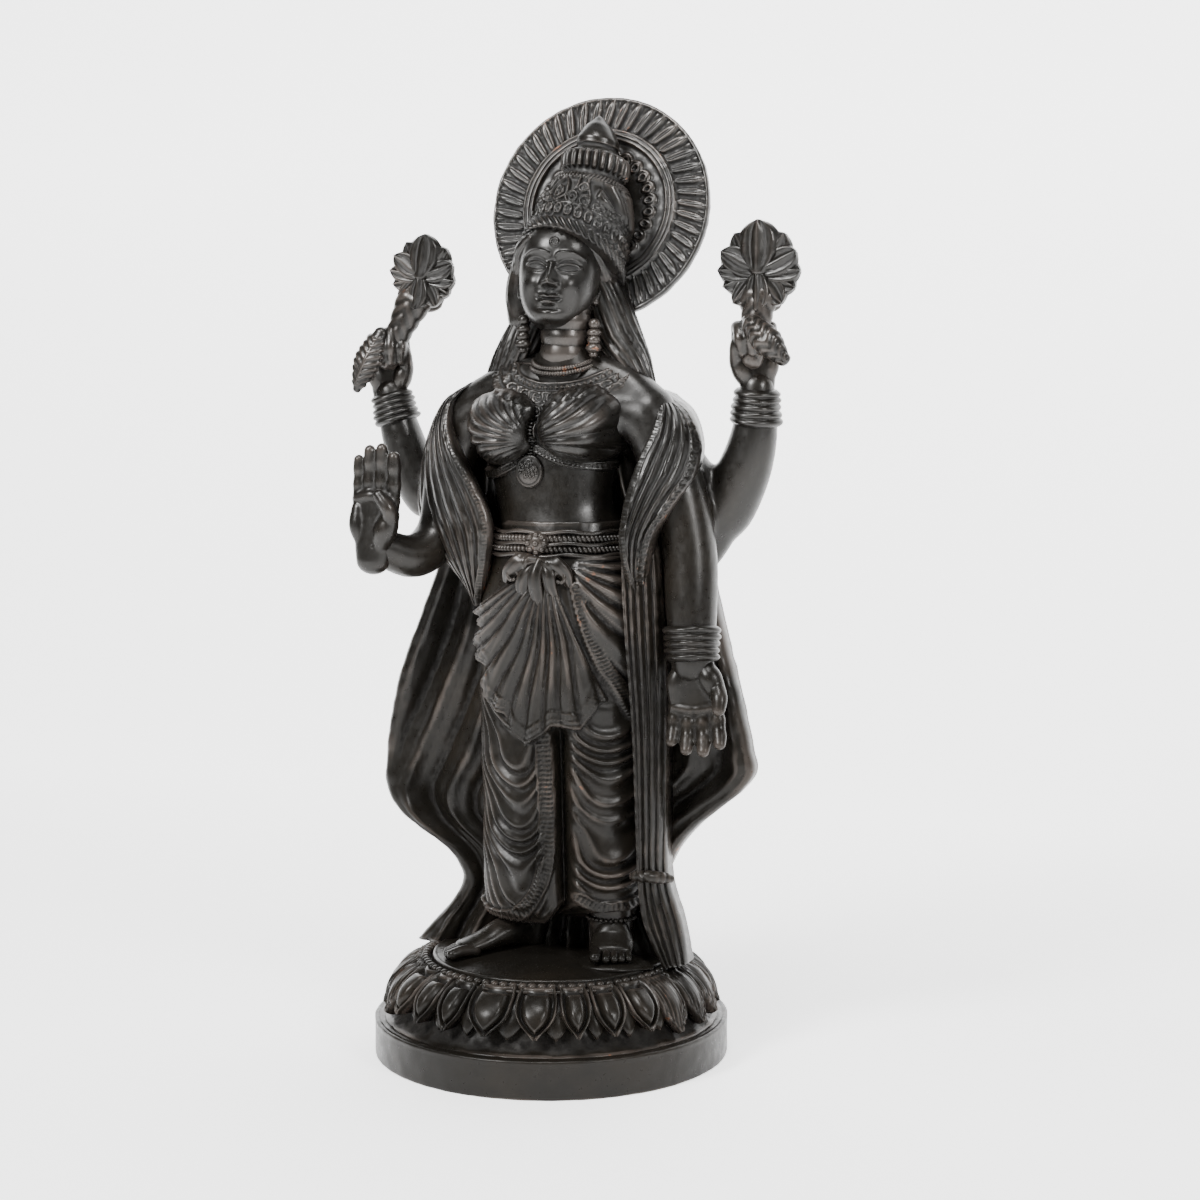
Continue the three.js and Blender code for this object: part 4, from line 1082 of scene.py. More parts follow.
def drapery(x, z):
    """All the carving of the skirt's front as heights over the plain column."""
    angle, reach = from_point(KNOT, x, z)
    tail = np.abs((angle + 6.0) / 17.0 - np.round((angle + 6.0) / 17.0))
    hem = APRON_HEM(np.clip(angle, -60, 27))[..., 0] + 5.5 * (0.5 - 2.2 * tail)
    in_apron = between(-58, 22, 1.0, angle) * smooth(hem + 0.5, hem - 0.5, reach)
    wide = smooth(6, 26, reach)
    run = angle / 7.6 + 0.016 * reach + 0.35 * np.sin(angle / 9.0) + 0.12 * np.sin(reach / 7.0)
    pleats = 1.3 + 2.3 * pillow(run, 1.6) * wide
    pleats = pleats + 0.5 * pillow(angle / 3.8 + 0.03 * reach, 1.8) * smooth(30, 44, reach)
    trim = between(hem - 7.0, hem - 0.4, 0.25, reach)
    lines = hill(reach - (hem - 1.0), 0.45) + hill(reach - (hem - 3.2), 0.4) + hill(reach - (hem - 6.4), 0.4)
    hatch = pillow(angle * reach / 57.3 / 1.25, 1.8) * between(hem - 5.8, hem - 3.8, 0.3, reach)
    apron = in_apron * (pleats + trim * (0.7 * lines + 0.45 * hatch))

    hip_angle, hip_reach = from_point(HIP_KNOT, x, z)
    swag = (hip_angle - 0.26 * hip_reach + 4) / 14.5
    on_hip = smooth(17, 21, hip_angle) * smooth(112, 100, hip_angle) * smooth(2, 9, hip_reach)
    _, _, side = nearest(x, z, HIP_BORDER)
    over = smooth(-0.8, 0.8, side)
    swell = 3.4 * pillow(swag, 1.6) * smooth(3, 16, hip_reach)
    swags = on_hip * over * (0.4 + swell + 0.5 * hill(swag - np.floor(swag) - 0.16, 0.06))
    seam = 1.9 * border(x, z, HIP_BORDER, 2.3, 1.6, 1.3)

    mid = -4.0
    uneven = 0.35 * np.sin(z / 9.1) + 0.22 * np.sin(z / 4.3 + 1.0)
    u = (z - np.where(x < mid, 0.066, 0.12) * (x - mid) ** 2) / 8.6 + uneven
    on_right = smooth(7.0, 4.5, x - 0.05 * (60 - z)) * between(20, 114, 3, z)
    fade = 0.35 + 0.65 * smooth(-31.0, -17.0, x)
    right = on_right * (2.6 * cords(u, 1.4) * fade * (0.8 + 0.25 * np.sin(z / 6.0)) + 0.25 * cords(2 * u + 0.2))
    u = (z - 0.075 * (x - 31) ** 2) / 8.6 - uneven + 0.3
    on_left = smooth(16.5, 20, x) * between(30, 108, 3, z)
    left = on_left * (2.6 * cords(u, 1.4) * (0.8 + 0.25 * np.sin(z / 7.0 + 2.0)) + 0.25 * cords(2 * u))
    groove = -9.0 * hill(x - 14.0 - 0.02 * (60 - z), 2.8) * smooth(106, 94, z)
    strip = 1.6 * border(x, z, FRONT_BORDER, 3.2, 2.0, 1.4)
    hem_line = 1.5 * border(x, z, LEFT_HEM, 2.4, 1.7, 1.3)
    under = right + left + groove + strip + hem_line
    top = np.maximum(apron, np.maximum(swags, seam))
    return np.where(top > 0.35, top + 0.8, 0.35 + under)


def back_pleats(angle, z):
    """Plain upright pleats round the sides and the back."""
    return 1.3 * pillow(angle * 34 / (2 * math.pi) + 0.3 * np.sin(z / 40.0), 1.9)


def skirt_base(x):
    """How high the cloth ends over the stage: low over her right leg, higher between the legs and on her left."""
    return 16.0 + 9.0 * smooth(4.0, 12.0, x) - 3.0 * smooth(18.0, 24.0, x) + 4.0 * smooth(-20.0, -30.0, x)


def skirt(bronze):
    """The carved column of cloth: the drapery in front, and plain pleats round the back."""
    rows, cols = SKIRT_GRID
    angle = from_back(cols, 0.55)
    c, s = np.cos(angle), np.sin(angle)
    share = np.linspace(0.0, 1.0, rows)[:, None]
    z = lerp(lerp(14.0, skirt_base(5.0 + 31.0 * c), smooth(-0.1, 0.3, -s)), 184.0, share)
    mx, my, half, front, back = np.moveaxis(SKIRT(z), -1, 0)
    x = mx + half * c
    ahead = smooth(-0.28, 0.05, -s)
    below = smooth(GIRDLE_LOW + 1.0, GIRDLE_LOW - 0.5, z)
    lift = (drapery(x, z) * ahead + back_pleats(angle, z) * (1 - ahead)) * below
    reach = 1 + lift / np.hypot(half * c, front * s)
    y = my + s * np.where(s < 0, front, back) * reach
    piece("pleated_skirt", [skin(grid(mx + half * c * reach, y, z))], bronze, rough=0.04, seed=41)


def skirt_front(x, z):
    """The y of the plain skirt's front."""
    mx, my, half, front, _ = np.moveaxis(SKIRT(np.asarray(z, float)), -1, 0)
    c = np.clip((x - mx) / half, -0.97, 0.97)
    return my - front * np.sqrt(1 - c * c)


def girdle(bronze):
    """Two rows of slanted beads and three thin cords round the hips, a rosette and the knot with its loops."""
    parts = []
    angle = np.radians(np.arange(-205, 26, 3.7))
    for z, (along, across) in ((177.2, (1.1, 1.9)), (172.8, (1.0, 1.8))):
        mx, my, half, front, back = SKIRT(np.array(z))
        c, s = np.cos(angle), np.sin(angle)
        middles = grid(mx + (half + 1.2) * c, my + s * (np.where(s < 0, front, back) + 1.2), z)
        parts.append(beads(middles, (along, across, 1.5), grid(-s, c, 0.7), grid(c, s, 0.0)))
    loops = np.radians(np.linspace(-200, 20, 120))
    for z, reach in ((179.8, 1.6), (175.0, 1.5), (170.4, 1.7)):
        mx, my, half, front, _ = SKIRT(np.array(z))
        x, y = mx + (half + reach) * np.cos(loops), my + (front + reach) * np.sin(loops)
        line = grid(x, y, z + 0.5 * np.sin(9 * loops))
        parts.append(loft(line[::4], [0.9, 0.9], rows=110, cols=8, side=(0, 0, 1)))
    cx, cz = 4.0, 175.4
    cy = float(skirt_front(cx, cz)) - 2.4
    petals = around(8)
    parts.append(beads([[cx, cy, cz]], (5.0, 5.0, 2.4)))
    parts.append(beads([[cx, cy - 2.0, cz]], (1.6, 1.6, 1.7)))
    parts.append(beads(grid(cx + 3.6 * np.cos(petals), cy - 1.6, cz + 3.6 * np.sin(petals)), (1.3, 1.3, 1.2)))
    kx, ky, kz = KNOT[0] - 2.0, float(skirt_front(KNOT[0], KNOT[1])) - 1.6, KNOT[1] - 1.5
    leaves = [
        # path from the knot's middle, widths
        ([[0, 0, 1], [-7, -2.2, 1.5], [-13, -1.2, -2.5], [-15.5, 0.8, -7]], [2.2, 3.6, 3.4, 1.4]),
        ([[0, 0, 1], [6, -2.2, 1.0], [10.5, -1.2, -3], [12, 0.4, -8]], [2.2, 3.2, 3.0, 1.2]),
        ([[-1, -1, 1], [-5, -3, -3], [-7.5, -2.4, -9], [-6, -1, -14]], [2.2, 2.8, 2.6, 1.2]),
        ([[1, -1, 1], [4, -3, -3], [5, -2.4, -9], [7, -1, -14]], [2.0, 2.6, 2.4, 1.2]),
        ([[0, -2, 2], [-1.5, -3.6, -4], [-1, -3.0, -11], [0.5, -1.5, -19]], [2.2, 2.8, 2.6, 1.4]),
    ]
    groove = lambda s, a: 0.55 * pillow(a * 6 / (2 * math.pi), 1.7)
    for path, width in leaves:
        line = [[kx + p[0], ky + p[1], kz + p[2]] for p in path]
        parts.append(loft(line, width, [0.65 * w for w in width], rows=44, cols=28, relief=groove))
    for x, z, turn in ((-11.5, -4.5, 1), (9.0, -5.0, -1), (-4.5, -1.0, 1)):
        a = np.linspace(0.0, 1.7 * np.pi, 12)
        r = 2.9 * (1 - 0.5 * a / a[-1])
        coil = grid(kx + x + turn * r * np.cos(a), ky - 2.6 - 0.1 * a, kz + z + r * np.sin(a))
        parts.append(loft(coil, [1.0, 0.9, 0.7], rows=40, cols=12))
    piece("girdle_and_knot", parts, bronze, rough=0.03, seed=42)


def pendant(bronze):
    """The ladder strip between the breasts with a grainy disc and its plain lower crescent."""
    z = np.arange(224.0, 210.0, -1.35)
    x = -0.8 - 0.05 * (224.0 - z)
    y = trunk_front(x, z) - 0.7
    parts = [beads(grid(x, y, z), (1.8, 0.62, 1.3))]
    for side in (-1.9, 1.9):
        parts.append(loft(grid(x + side, y + 0.1, z), [0.5, 0.5], rows=30, cols=8))
    cx, cz = -1.6, 204.6
    cy = float(trunk_front(cx, cz))
    rows = np.array([[0.3, 2.6], [2.0, 2.55], [4.0, 2.2], [4.6, 1.7], [5.0, 1.9], [5.5, 1.9], [5.9, 1.3], [6.0, -1.5]])
    angle = around(48)[None, :]
    r, h = rows[:, :1], rows[:, 1:]
    parts.append(skin(grid(cx + r * np.cos(angle), cy - h, cz + 1.15 * r * np.sin(angle))))
    rng = np.random.default_rng(5)
    a, d = rng.uniform(0, 2 * np.pi, 60), 4.0 * np.sqrt(rng.uniform(0, 1, 60))
    parts.append(beads(grid(cx + d * np.cos(a), cy - 2.5 + 0.02 * d, cz + 0.6 + d * np.sin(a)), (0.6, 0.6, 0.6)))
    piece("strip_and_pendant", parts, bronze, rough=0.0)


# Shawl

SHAWL = table([
    # height, her right edge, her left edge, front face, back face
    [-2, -66.5, 58.3, 0, 20],
    [8, -57.5, 55.3, 0, 20],
    [18, -48.5, 50.5, 0, 20],
    [27, -44.5, 48.2, 0, 20],
    [34, -47, 49.3, -0.5, 20],
    [40, -52.5, 52, -1, 20],
    [46, -62, 55.5, -1.5, 20],
    [52, -71, 60, -2, 20],
    [58, -77, 66, -2.5, 20],
    [65, -80.5, 74.5, -3, 21],
    [72, -81, 83, -3, 21],
    [80, -80.5, 88.4, -3, 22],
    [87, -80, 87.4, -3, 22],
    [104, -77, 83.6, -3, 23],
    [118, -73.5, 80.0, -2.5, 24],
    [130, -69, 76.5, -2, 25],
    [160, -57.5, 68.5, 0, 26],
    [190, -48, 62, 2, 27],
    [215, -41, 52, 4, 24],
    [236, -26, 36, 6, 20],
])


def shawl(bronze):
    """The cloth behind the figure, hollow towards the legs, with deep upright folds and barred hems."""
    rows, across = SHAWL_GRID
    z = np.linspace(-2, 236, rows)[:, None]
    right, left, front, back = columns(SHAWL, z)
    t = np.linspace(-0.98, 0.98, across)[None, :]
    half = (back - front) / 2
    bulge = np.sqrt(1 - np.abs(t) ** 5)
    x = lerp(right, left, (t + 1) / 2)
    drift = 5.0 * (t + 1) + 0.3 * np.sin(z / 26.0) + 0.4 * np.sin(z / 61.0 + 1.0) + 0.3 * np.sin(5.0 * t)
    pleat = 6.6 * pillow(drift, 1.2) + 0.9 * pillow(3.0 * drift, 1.7) - 4.4
    rim = (1 - np.abs(t)) * (left - right) / 2
    sink = 11.0 * smooth(3.0, 20.0, rim) * smooth(6, 40, z) * smooth(205, 170, z)
    hem = between(0.6, 4.6, 0.3, rim) * (0.4 + 0.9 * pillow(z / 1.7, 1.8))
    faces = []
    for sign in (-1, 1):
        lift = lerp(0.4 + hem, pleat * (1.0 if sign < 0 else 0.5), smooth(5.0, 7.5, rim))
        y = front + half + sign * (half + lift) * bulge + (sink if sign < 0 else 0.0)
        faces.append(grid(x, y, z))
    points = np.concatenate([faces[0], faces[1][:, ::-1]], 1)
    piece("back_shawl", [skin(points)], bronze, rough=0.1, seed=51)


def cloth(inner, outer, bulge, pleats, rows, cols, hem, far_hem=0.0, depth=5.0, twist=0.0):
    """A hanging cloth between two edge curves, bulging to the front, with pleats along it.

    The barred border lies hem mm wide along the inner edge, and far_hem wide along the outer one. Its plain back
    lies depth mm behind.
    """
    rows, cols = round(rows * FINENESS), round(cols * FINENESS)
    a, b = curve(inner, rows), curve(outer, rows)
    t = np.linspace(0.0, 1.0, cols)[None, :, None]
    s = np.linspace(0.0, 1.0, rows)[:, None]
    span = np.linalg.norm(b - a, axis=1)[:, None]
    face = lerp(a[:, None], b[:, None], t)
    t = t[..., 0]
    face[..., 1] -= bulge * np.sin(np.pi * np.clip(t, 0, 1)) ** 0.7
    length = np.concatenate([[0.0], np.cumsum(np.linalg.norm(np.diff(a, axis=0), axis=1))])[:, None]
    across = t * span
    relief = 1.9 * pillow(pleats * t + twist * s, 1.9) + 0.35 * pillow(3 * pleats * t + twist * s, 1.7)
    near = smooth(hem + 0.4, hem, across)
    bar = 1.4 + 0.9 * pillow(length / 1.75, 1.9) * between(0.7, hem - 0.8, 0.2, across)
    bar = bar + 0.8 * hill(across - 0.45, 0.4) + 0.8 * hill(across - hem + 0.4, 0.4)
    relief = lerp(relief, bar, near)
    if far_hem:
        left = (1 - t) * span
        knob = np.hypot(in_cell(length, 3.6), left - far_hem / 2)
        trim = 1.2 + 1.2 * hill(knob - 0.9, 0.5) + 0.8 * hill(left - 0.45, 0.4) + 0.8 * hill(left - far_hem + 0.3, 0.4)
        relief = lerp(relief, trim, smooth(far_hem + 0.4, far_hem, left))
    edge = smooth(0.0, 0.05, t) * smooth(1.0, 0.95, t)
    face[..., 1] -= relief * (0.4 + 0.6 * edge)
    rear = lerp(a[:, None], b[:, None], np.linspace(0.94, 0.06, 9)[None, :, None])
    rear[..., 1] += depth
    return skin(np.concatenate([face, rear], 1))


def shoulder_drapes(bronze):
    """The shawl's folds over both upper arms with their barred borders, and the sash before her left hip."""
    right = cloth(
        [[-33, 4, 242], [-39.0, -8, 234], [-39, -14, 226], [-36.4, -17.5, 218], [-31, -20.5, 209],
         [-25.2, -21.5, 200], [-20, -22.0, 190], [-17.5, -22.0, 181], [-18.5, -20.5, 172], [-21, -17.5, 163],
         [-24, -13, 155], [-27, -7, 147]],
        [[-37, 10, 240], [-48, 7, 234], [-55, 4, 222], [-59.5, 2, 207], [-61.5, 2, 193], [-59.5, 1, 182],
         [-53, -2, 173], [-45, -4, 165], [-38, -3, 157], [-33, 0, 148]],
        6.0, 7.0, rows=190, cols=84, hem=4.2, depth=7.0, twist=0.8,
    )
    left = cloth(
        [[46, 5, 238], [50, -6, 230], [49.5, -13, 221], [46, -16.5, 213], [43, -18.5, 204], [40.2, -20, 194],
         [38.6, -21, 184], [38.4, -21.5, 177], [39.5, -19.5, 166], [41, -12, 154]],
        [[50, 10, 236], [61, 4, 228], [67, -2, 215], [66.5, -8, 204], [62, -13.5, 195], [57, -17, 187],
         [53, -18.5, 180], [50.5, -18, 172], [48.5, -15, 163], [47.5, -9, 155]],
        5.0, 6.0, rows=170, cols=74, hem=4.4, far_hem=3.0, depth=8.0, twist=0.5,
    )
    sash = cloth(
        [[38, -16, 178], [38.5, -19, 165], [40, -19.5, 140], [42.5, -17.5, 100], [43.5, -15.5, 62], [44, -13.5, 36],
         [46, -12, 18], [54, -10, 0]],
        [[50, -8, 178], [52, -9, 165], [53, -7, 140], [53.5, -4, 100], [53.5, -4, 62], [54, -4, 36], [60, -5, 18],
         [63, -5, 1]],
        3.5, 5.0, rows=170, cols=56, hem=2.4, depth=9.0, twist=0.7,
    )
    band = loft(
        [[42, -14.5, 38], [49, -15.5, 38.5], [56, -9, 37]], [1.8, 2.4, 1.8], rows=30, cols=26,
        relief=lambda s, a: 0.4 * pillow(s * 6, 1.7),
    )
    piece("shoulder_drapes_and_sash", [right, left, sash, band], bronze, rough=0.08, seed=52)


# What the hands hold

FLOWER_RIBS = 3.0
# shares of the petal's length, and the half width there as a share of the widest
FLOWER_PETAL_WIDTH = ([0, 0.2, 0.4, 0.6, 0.78, 0.9, 0.97, 1.0], [0.4, 0.72, 0.96, 1.0, 0.88, 0.62, 0.32, 0.05])


def fan_petal(length, width, curl):
    """A broad pointed petal in its own frame: it grows along +Y, its ribbed and rounded face is +Z."""
    v = np.linspace(0.0, 1.0, 23)[:, None]
    u = np.linspace(-1.0, 1.0, 25)[None, :]
    half = width * np.interp(v, *FLOWER_PETAL_WIDTH)
    thick = 1.2 * np.sqrt(np.clip(1 - np.abs(u) ** 2.5, 0, 1)) * (1 - 0.4 * v) + 0.15
    base = curl * v**2 - 3.4 * np.abs(u) ** 2.2 * (1 - 0.3 * v)
    line = 1.3 * (pillow((u + 1) * FLOWER_RIBS / 2, 1.3) - 0.5) * smooth(0.0, 0.25, v) * smooth(1.0, 0.8, np.abs(u))
    face = grid(u * half, v * length, base + thick + line)
    rear = grid(u * half, v * length, base - thick)
    return skin(np.concatenate([face, rear[:, ::-1]], 1))


def blossom(middle, radius, lean):
    """A lotus seen from its side: a fan of broad ribbed petals over three drooping ones."""
    parts = []
    rows = [
        # angles from upright, length and half width as shares of the radius, how far in front it starts, tip's bend
        ([-112, 112], 0.92, 0.32, 1.4, 0.8),
        ([-88, 88], 0.98, 0.34, 2.4, 0.8),
        ([-142, 142], 0.92, 0.36, 3.0, 0.8),
        ([-62, 62], 1.0, 0.4, 3.6, 0.8),
        ([-34, 34], 1.06, 0.42, 2.6, 0.6),
        ([180], 0.9, 0.36, 5.0, 0.8),
        ([0], 1.18, 0.5, 5.2, 0.5),
    ]
    middle = np.array(middle)
    for angles, long, wide, front, curl in rows:
        for angle in angles:
            a = math.radians(angle + lean)
            along = np.array([math.sin(a), 0.0, math.cos(a)])
            face = unit(np.array([0.12 * math.sin(a), -1.0, 0.12]))
            face = unit(face - face.dot(along) * along)
            matrix = np.column_stack([np.cross(along, face), along, face])
            start = middle + np.array([0, -front, 0]) - along * 0.05 * radius
            parts.append(moved(fan_petal(radius * long, radius * wide, curl), matrix, start))
    back = [middle + np.array([0, y, z * radius]) for y, z in ((2, -0.7), (2.5, 0), (2, 0.8))]
    widths = [0.45 * radius, 0.72 * radius, 0.35 * radius]
    return parts + [loft(back, widths, [3.5, 4.2, 3.2], rows=20, cols=30)]


def flowers(bronze):
    """Both lotuses with their sheaths, the hanging bud, and the leaf with its midrib."""
    sheath = lambda s, angle: 0.55 * pillow(s * 5 + 1.3 * np.abs(np.cos(angle)), 1.7)
    scaled = lambda s, angle: 0.7 * pillow(s * 6 + 0.8 * np.abs(np.sin(2 * angle)), 1.7)
    veins = lambda s, angle: 0.8 * pillow(s * 9 + 1.4 * np.abs(np.cos(angle)), 1.7) * between(0.08, 0.95, 0.05, s)
    parts = blossom((88.0, 9.0, 285.0), 18.6, 1.0) + blossom((-61.0, 9.0, 285.5), 16.2, 10.0)
    parts += [loft(path, w, d, rows=rows, cols=cols, relief=relief) for path, w, d, rows, cols, relief in [
        ([[85, 7, 250], [86.5, 7, 262], [87.5, 8, 276]], [4.4, 5.4, 8.0], [4.0, 4.4, 5.0], 50, 34, sheath),
        ([[-78, 7, 250], [-72, 7, 263], [-65.5, 8, 276]], [4.4, 5.4, 8.0], [3.8, 4.2, 5.0], 60, 40, sheath),
        ([[87, 0, 264], [94, -3, 257.5], [101.5, -3, 249.5]], [3.6, 5.6, 2.2], [3.4, 4.8, 2.0], 56, 44, scaled),
        ([[-78.5, 2, 262], [-84, 0, 250], [-89, -0.5, 238]], [3.0, 5.8, 1.8], [2.4, 3.0, 1.4], 70, 44, veins),
        ([[-79, -0.4, 260], [-84.5, -3.0, 249], [-89, -2.0, 240]], [0.9, 1.1, 0.6], None, 40, 10, None),
    ]]
    piece("lotus_flowers", parts, bronze, rough=0.05, seed=61)


# Feet

TOES = [
    # from the big one: girth, place across and reach ahead as shares
    (2.7, 0.68, 1.0), (1.9, 0.2, 1.02), (1.85, -0.16, 0.92), (1.75, -0.48, 0.78), (1.65, -0.78, 0.6),
]


def foot(heel, ball, toe_root, width, big_side, toes_long, ground):
    """The parts of a foot, from the heel to five toes; big_side is +1 where the big toe lies to her left."""
    heel, ball, toe_root = (np.array(p, float) for p in (heel, ball, toe_root))
    ahead = unit((toe_root - heel) * np.array([1, 1, 0.0]))
    across = np.array([-ahead[1], ahead[0], 0.0])
    if across[0] * big_side < 0:
        across = -across
    middle = lerp(heel, ball, 0.5) + np.array([0, 0, 1.8])
    widths = [6.5, 7.0, width, width * 0.96]
    parts = [loft([heel, middle, ball, toe_root], widths, [7.5, 6.6, 4.6, 2.8], side=across, rows=50, cols=44)]
    for girth, out, far in TOES:
        place, reach = width * out, toes_long * far
        start = toe_root + across * place - ahead * 2.5
        start[2] = 2.6 + ground
        tip = toe_root + across * place * 1.04 + ahead * reach
        tip[2] = girth * 0.8 + ground
        knuckle = lerp(start, tip, 0.55) + np.array([0, 0, 0.7])
        parts.append(loft([start, knuckle, tip], [girth, girth * 0.9, girth * 0.92], rows=24, cols=16))
        nail = tip + np.array([0, 0, girth * 0.62]) + ahead * girth * 0.35
        parts.append(beads([nail], (girth * 0.55, girth * 0.62, 0.5), [ahead], [[0, 0, 1]]))
    return parts


def feet(bronze):
    """Both feet, the ankles, the cloth's edge over her left instep and the anklets' beads."""
    parts = foot([-10, 1, 8], [-24, -17, 6.0], [-30, -24, 4.4], 6.8, 1, 8.0, 0.9)
    parts += foot([28, 0, 13], [31.5, -11, 9.4], [33.5, -18, 7.0], 9.0, -1, 7.0, 3.4)
    parts.append(loft(
        [[14, -13, 0], [22, -13, 0.4], [32, -14, 0.8], [42, -14, 0.4], [50, -14, 0]],
        [2, 11, 14, 11, 2], [0.6, 2.6, 3.2, 2.6, 0.6], side=(0, 1, 0), rows=50, cols=48,
    ))
    parts.append(loft([[28, -2, 28], [28, -2, 10]], [9.6, 9.2], rows=20, cols=32))
    parts.append(loft([[-8, 3, 22], [-10, 2, 6]], [9.5, 7.6], rows=20, cols=32))
    angle = around(30)
    c, s = np.cos(angle), np.sin(angle)
    for (x, y, z), size in (((28, -2.0, 17.5), 9.8), ((-9.3, 2, 13.0), 9.2)):
        parts.append(beads(grid(x + size * c, y + size * s, z), (1.0, 1.0, 1.2), grid(-s, c, 0.0), grid(c, s, 0.0)))
    piece("feet_and_anklets", parts, bronze, rough=0.03, seed=71)


# Material

# The near-black hollow colour is painted shade; the grey of the crests is partly wear and partly a painted highlight.
PATINA_DARK, PATINA_LIGHT, RUBBED_HIGHLIGHT, PAINTED_HOLLOW_SHADE, COPPER = "#151310", "#1e1a15", "#4b443f", "#0e0c0a", "#a8663c"
PAPER, ROOM = "#f4f4f4", "#f6f5f2"


def linear(hex_colour):
    """An sRGB hex colour as linear RGBA."""
    channels = [int(hex_colour[k : k + 2], 16) / 255 for k in (1, 3, 5)]
    return [c / 12.92 if c <= 0.04045 else ((c + 0.055) / 1.055) ** 2.4 for c in channels] + [1.0]


def node(tree, kind, links=(), **settings):
    """Adds a shader node; settings name its properties, and links are (input, output socket) pairs."""
    made = tree.nodes.new(kind)
    for key, value in settings.items():
        setattr(made, key, value)
    for name, socket in links:
        tree.links.new(socket, made.inputs[name])
    return made


def blackened_brass():
    """Cast brass under a near-black brown patina: satin, with copper specks; dull hollows made darker as painted
    shade, and edges greyed partly by wear and partly as a painted highlight.
    """
    material = bpy.data.materials.new("blackened_cast_brass")
    material.use_nodes = True
    tree = material.node_tree
    tree.nodes.clear()
    place = node(tree, "ShaderNodeTexCoord").outputs["Object"]
    hollow = node(tree, "ShaderNodeAttribute", attribute_name="hollow").outputs["Fac"]

    def noise(scale_mm, detail, rough=0.55):
        """Fractal noise with cells of a size in millimetres."""
        made = node(tree, "ShaderNodeTexNoise", [("Vector", place)])
        made.inputs["Scale"].default_value = 1000.0 / scale_mm
        made.inputs["Detail"].default_value = detail
        made.inputs["Roughness"].default_value = rough
        return made.outputs["Fac"]

    def ramp(value, low, high, to_low=0.0, to_high=1.0):
        """A soft step from to_low at low to to_high at high."""
        made = node(tree, "ShaderNodeMapRange", [("Value", value)])
        made.interpolation_type = "SMOOTHSTEP"
        for name, number in (("From Min", low), ("From Max", high), ("To Min", to_low), ("To Max", to_high)):
            made.inputs[name].default_value = number
        return made.outputs["Result"]

    def math_of(operation, a, b):
        """One sum or product of two sockets or numbers."""
        made = node(tree, "ShaderNodeMath", operation=operation)
        for k, value in enumerate((a, b)):
            if isinstance(value, (int, float)):
                made.inputs[k].default_value = value
            else:
                tree.links.new(value, made.inputs[k])
        return made.outputs[0]

    def mixed(share, a, b):
        """Colour a where the share is 0 and b where it is 1."""
        made = node(tree, "ShaderNodeMix", data_type="RGBA", clamp_factor=True)
        tree.links.new(share, made.inputs["Factor"])
        for name, value in (("A", a), ("B", b)):
            socket = [i for i in made.inputs if i.name == name and i.type == "RGBA"][0]
            if isinstance(value, list):
                socket.default_value = value
            else:
                tree.links.new(value, socket)
        return [o for o in made.outputs if o.type == "RGBA"][0]

    cloud = noise(34.0, 3.0)
    grain = noise(2.6, 4.0)
    speck = noise(7.0, 5.0, 0.7)
    # Hollows: duller, less metallic, and made near-black as painted shade.
    matt_and_painted_shade = math_of("MULTIPLY", ramp(hollow, 0.03, 0.3), ramp(grain, 0.3, 0.6, 0.4, 1.0))
    crest = ramp(hollow, -0.06, -0.3)
    # Crests: greyed, partly by wear and partly as a painted highlight.
    rubbed_and_highlight = math_of("MULTIPLY", crest, ramp(cloud, 0.4, 0.65))
    copper = math_of("MULTIPLY", ramp(hollow, -0.16, -0.36), ramp(speck, 0.60, 0.66))
    chips = math_of("MULTIPLY", ramp(noise(9.0, 6.0, 0.75), 0.735, 0.75), 0.6)
    copper = math_of("MAXIMUM", math_of("MULTIPLY", copper, math_of("MULTIPLY", ramp(cloud, 0.55, 0.66), 0.45)), chips)

    skin_colour = mixed(ramp(cloud, 0.4, 0.75), linear(PATINA_DARK), linear(PATINA_LIGHT))
    # Grey on the crests, partly wear and partly a painted highlight.
    worn_and_highlight = mixed(math_of("MULTIPLY", rubbed_and_highlight, 0.6), skin_colour, linear(RUBBED_HIGHLIGHT))
    # Painted shade: the hollows made near-black.
    hollow_shaded = mixed(math_of("MULTIPLY", matt_and_painted_shade, 0.85), worn_and_highlight, linear(PAINTED_HOLLOW_SHADE))
    colour = mixed(copper, hollow_shaded, linear(COPPER))
    roughness = math_of("ADD", ramp(grain, 0.3, 0.7, 0.27, 0.37), math_of("MULTIPLY", matt_and_painted_shade, 0.45))
    height = node(tree, "ShaderNodeSeparateXYZ", [("Vector", place)]).outputs["Z"]
    metal = math_of("SUBTRACT", ramp(height, 0.12, 0.33, 0.1, 0.42), math_of("MULTIPLY", matt_and_painted_shade, 0.3))
    shine = ramp(height, 0.12, 0.33, 0.2, 0.75)
    metal = math_of("MAXIMUM", metal, math_of("MULTIPLY", copper, 0.9))

    pits = math_of("ADD", math_of("MULTIPLY", noise(0.9, 3.0), 0.4), math_of("MULTIPLY", noise(3.2, 2.0), 0.6))
    bump = node(tree, "ShaderNodeBump", [("Height", pits)])
    bump.inputs["Strength"].default_value = 0.22
    bump.inputs["Distance"].default_value = 0.00025
    shader = node(tree, "ShaderNodeBsdfPrincipled", [
        ("Base Color", colour), ("Roughness", roughness), ("Metallic", metal), ("Specular IOR Level", shine),
        ("Normal", bump.outputs["Normal"]),
    ])
    node(tree, "ShaderNodeOutputMaterial", [("Surface", shader.outputs[0])])
    return material


# Room, light and camera

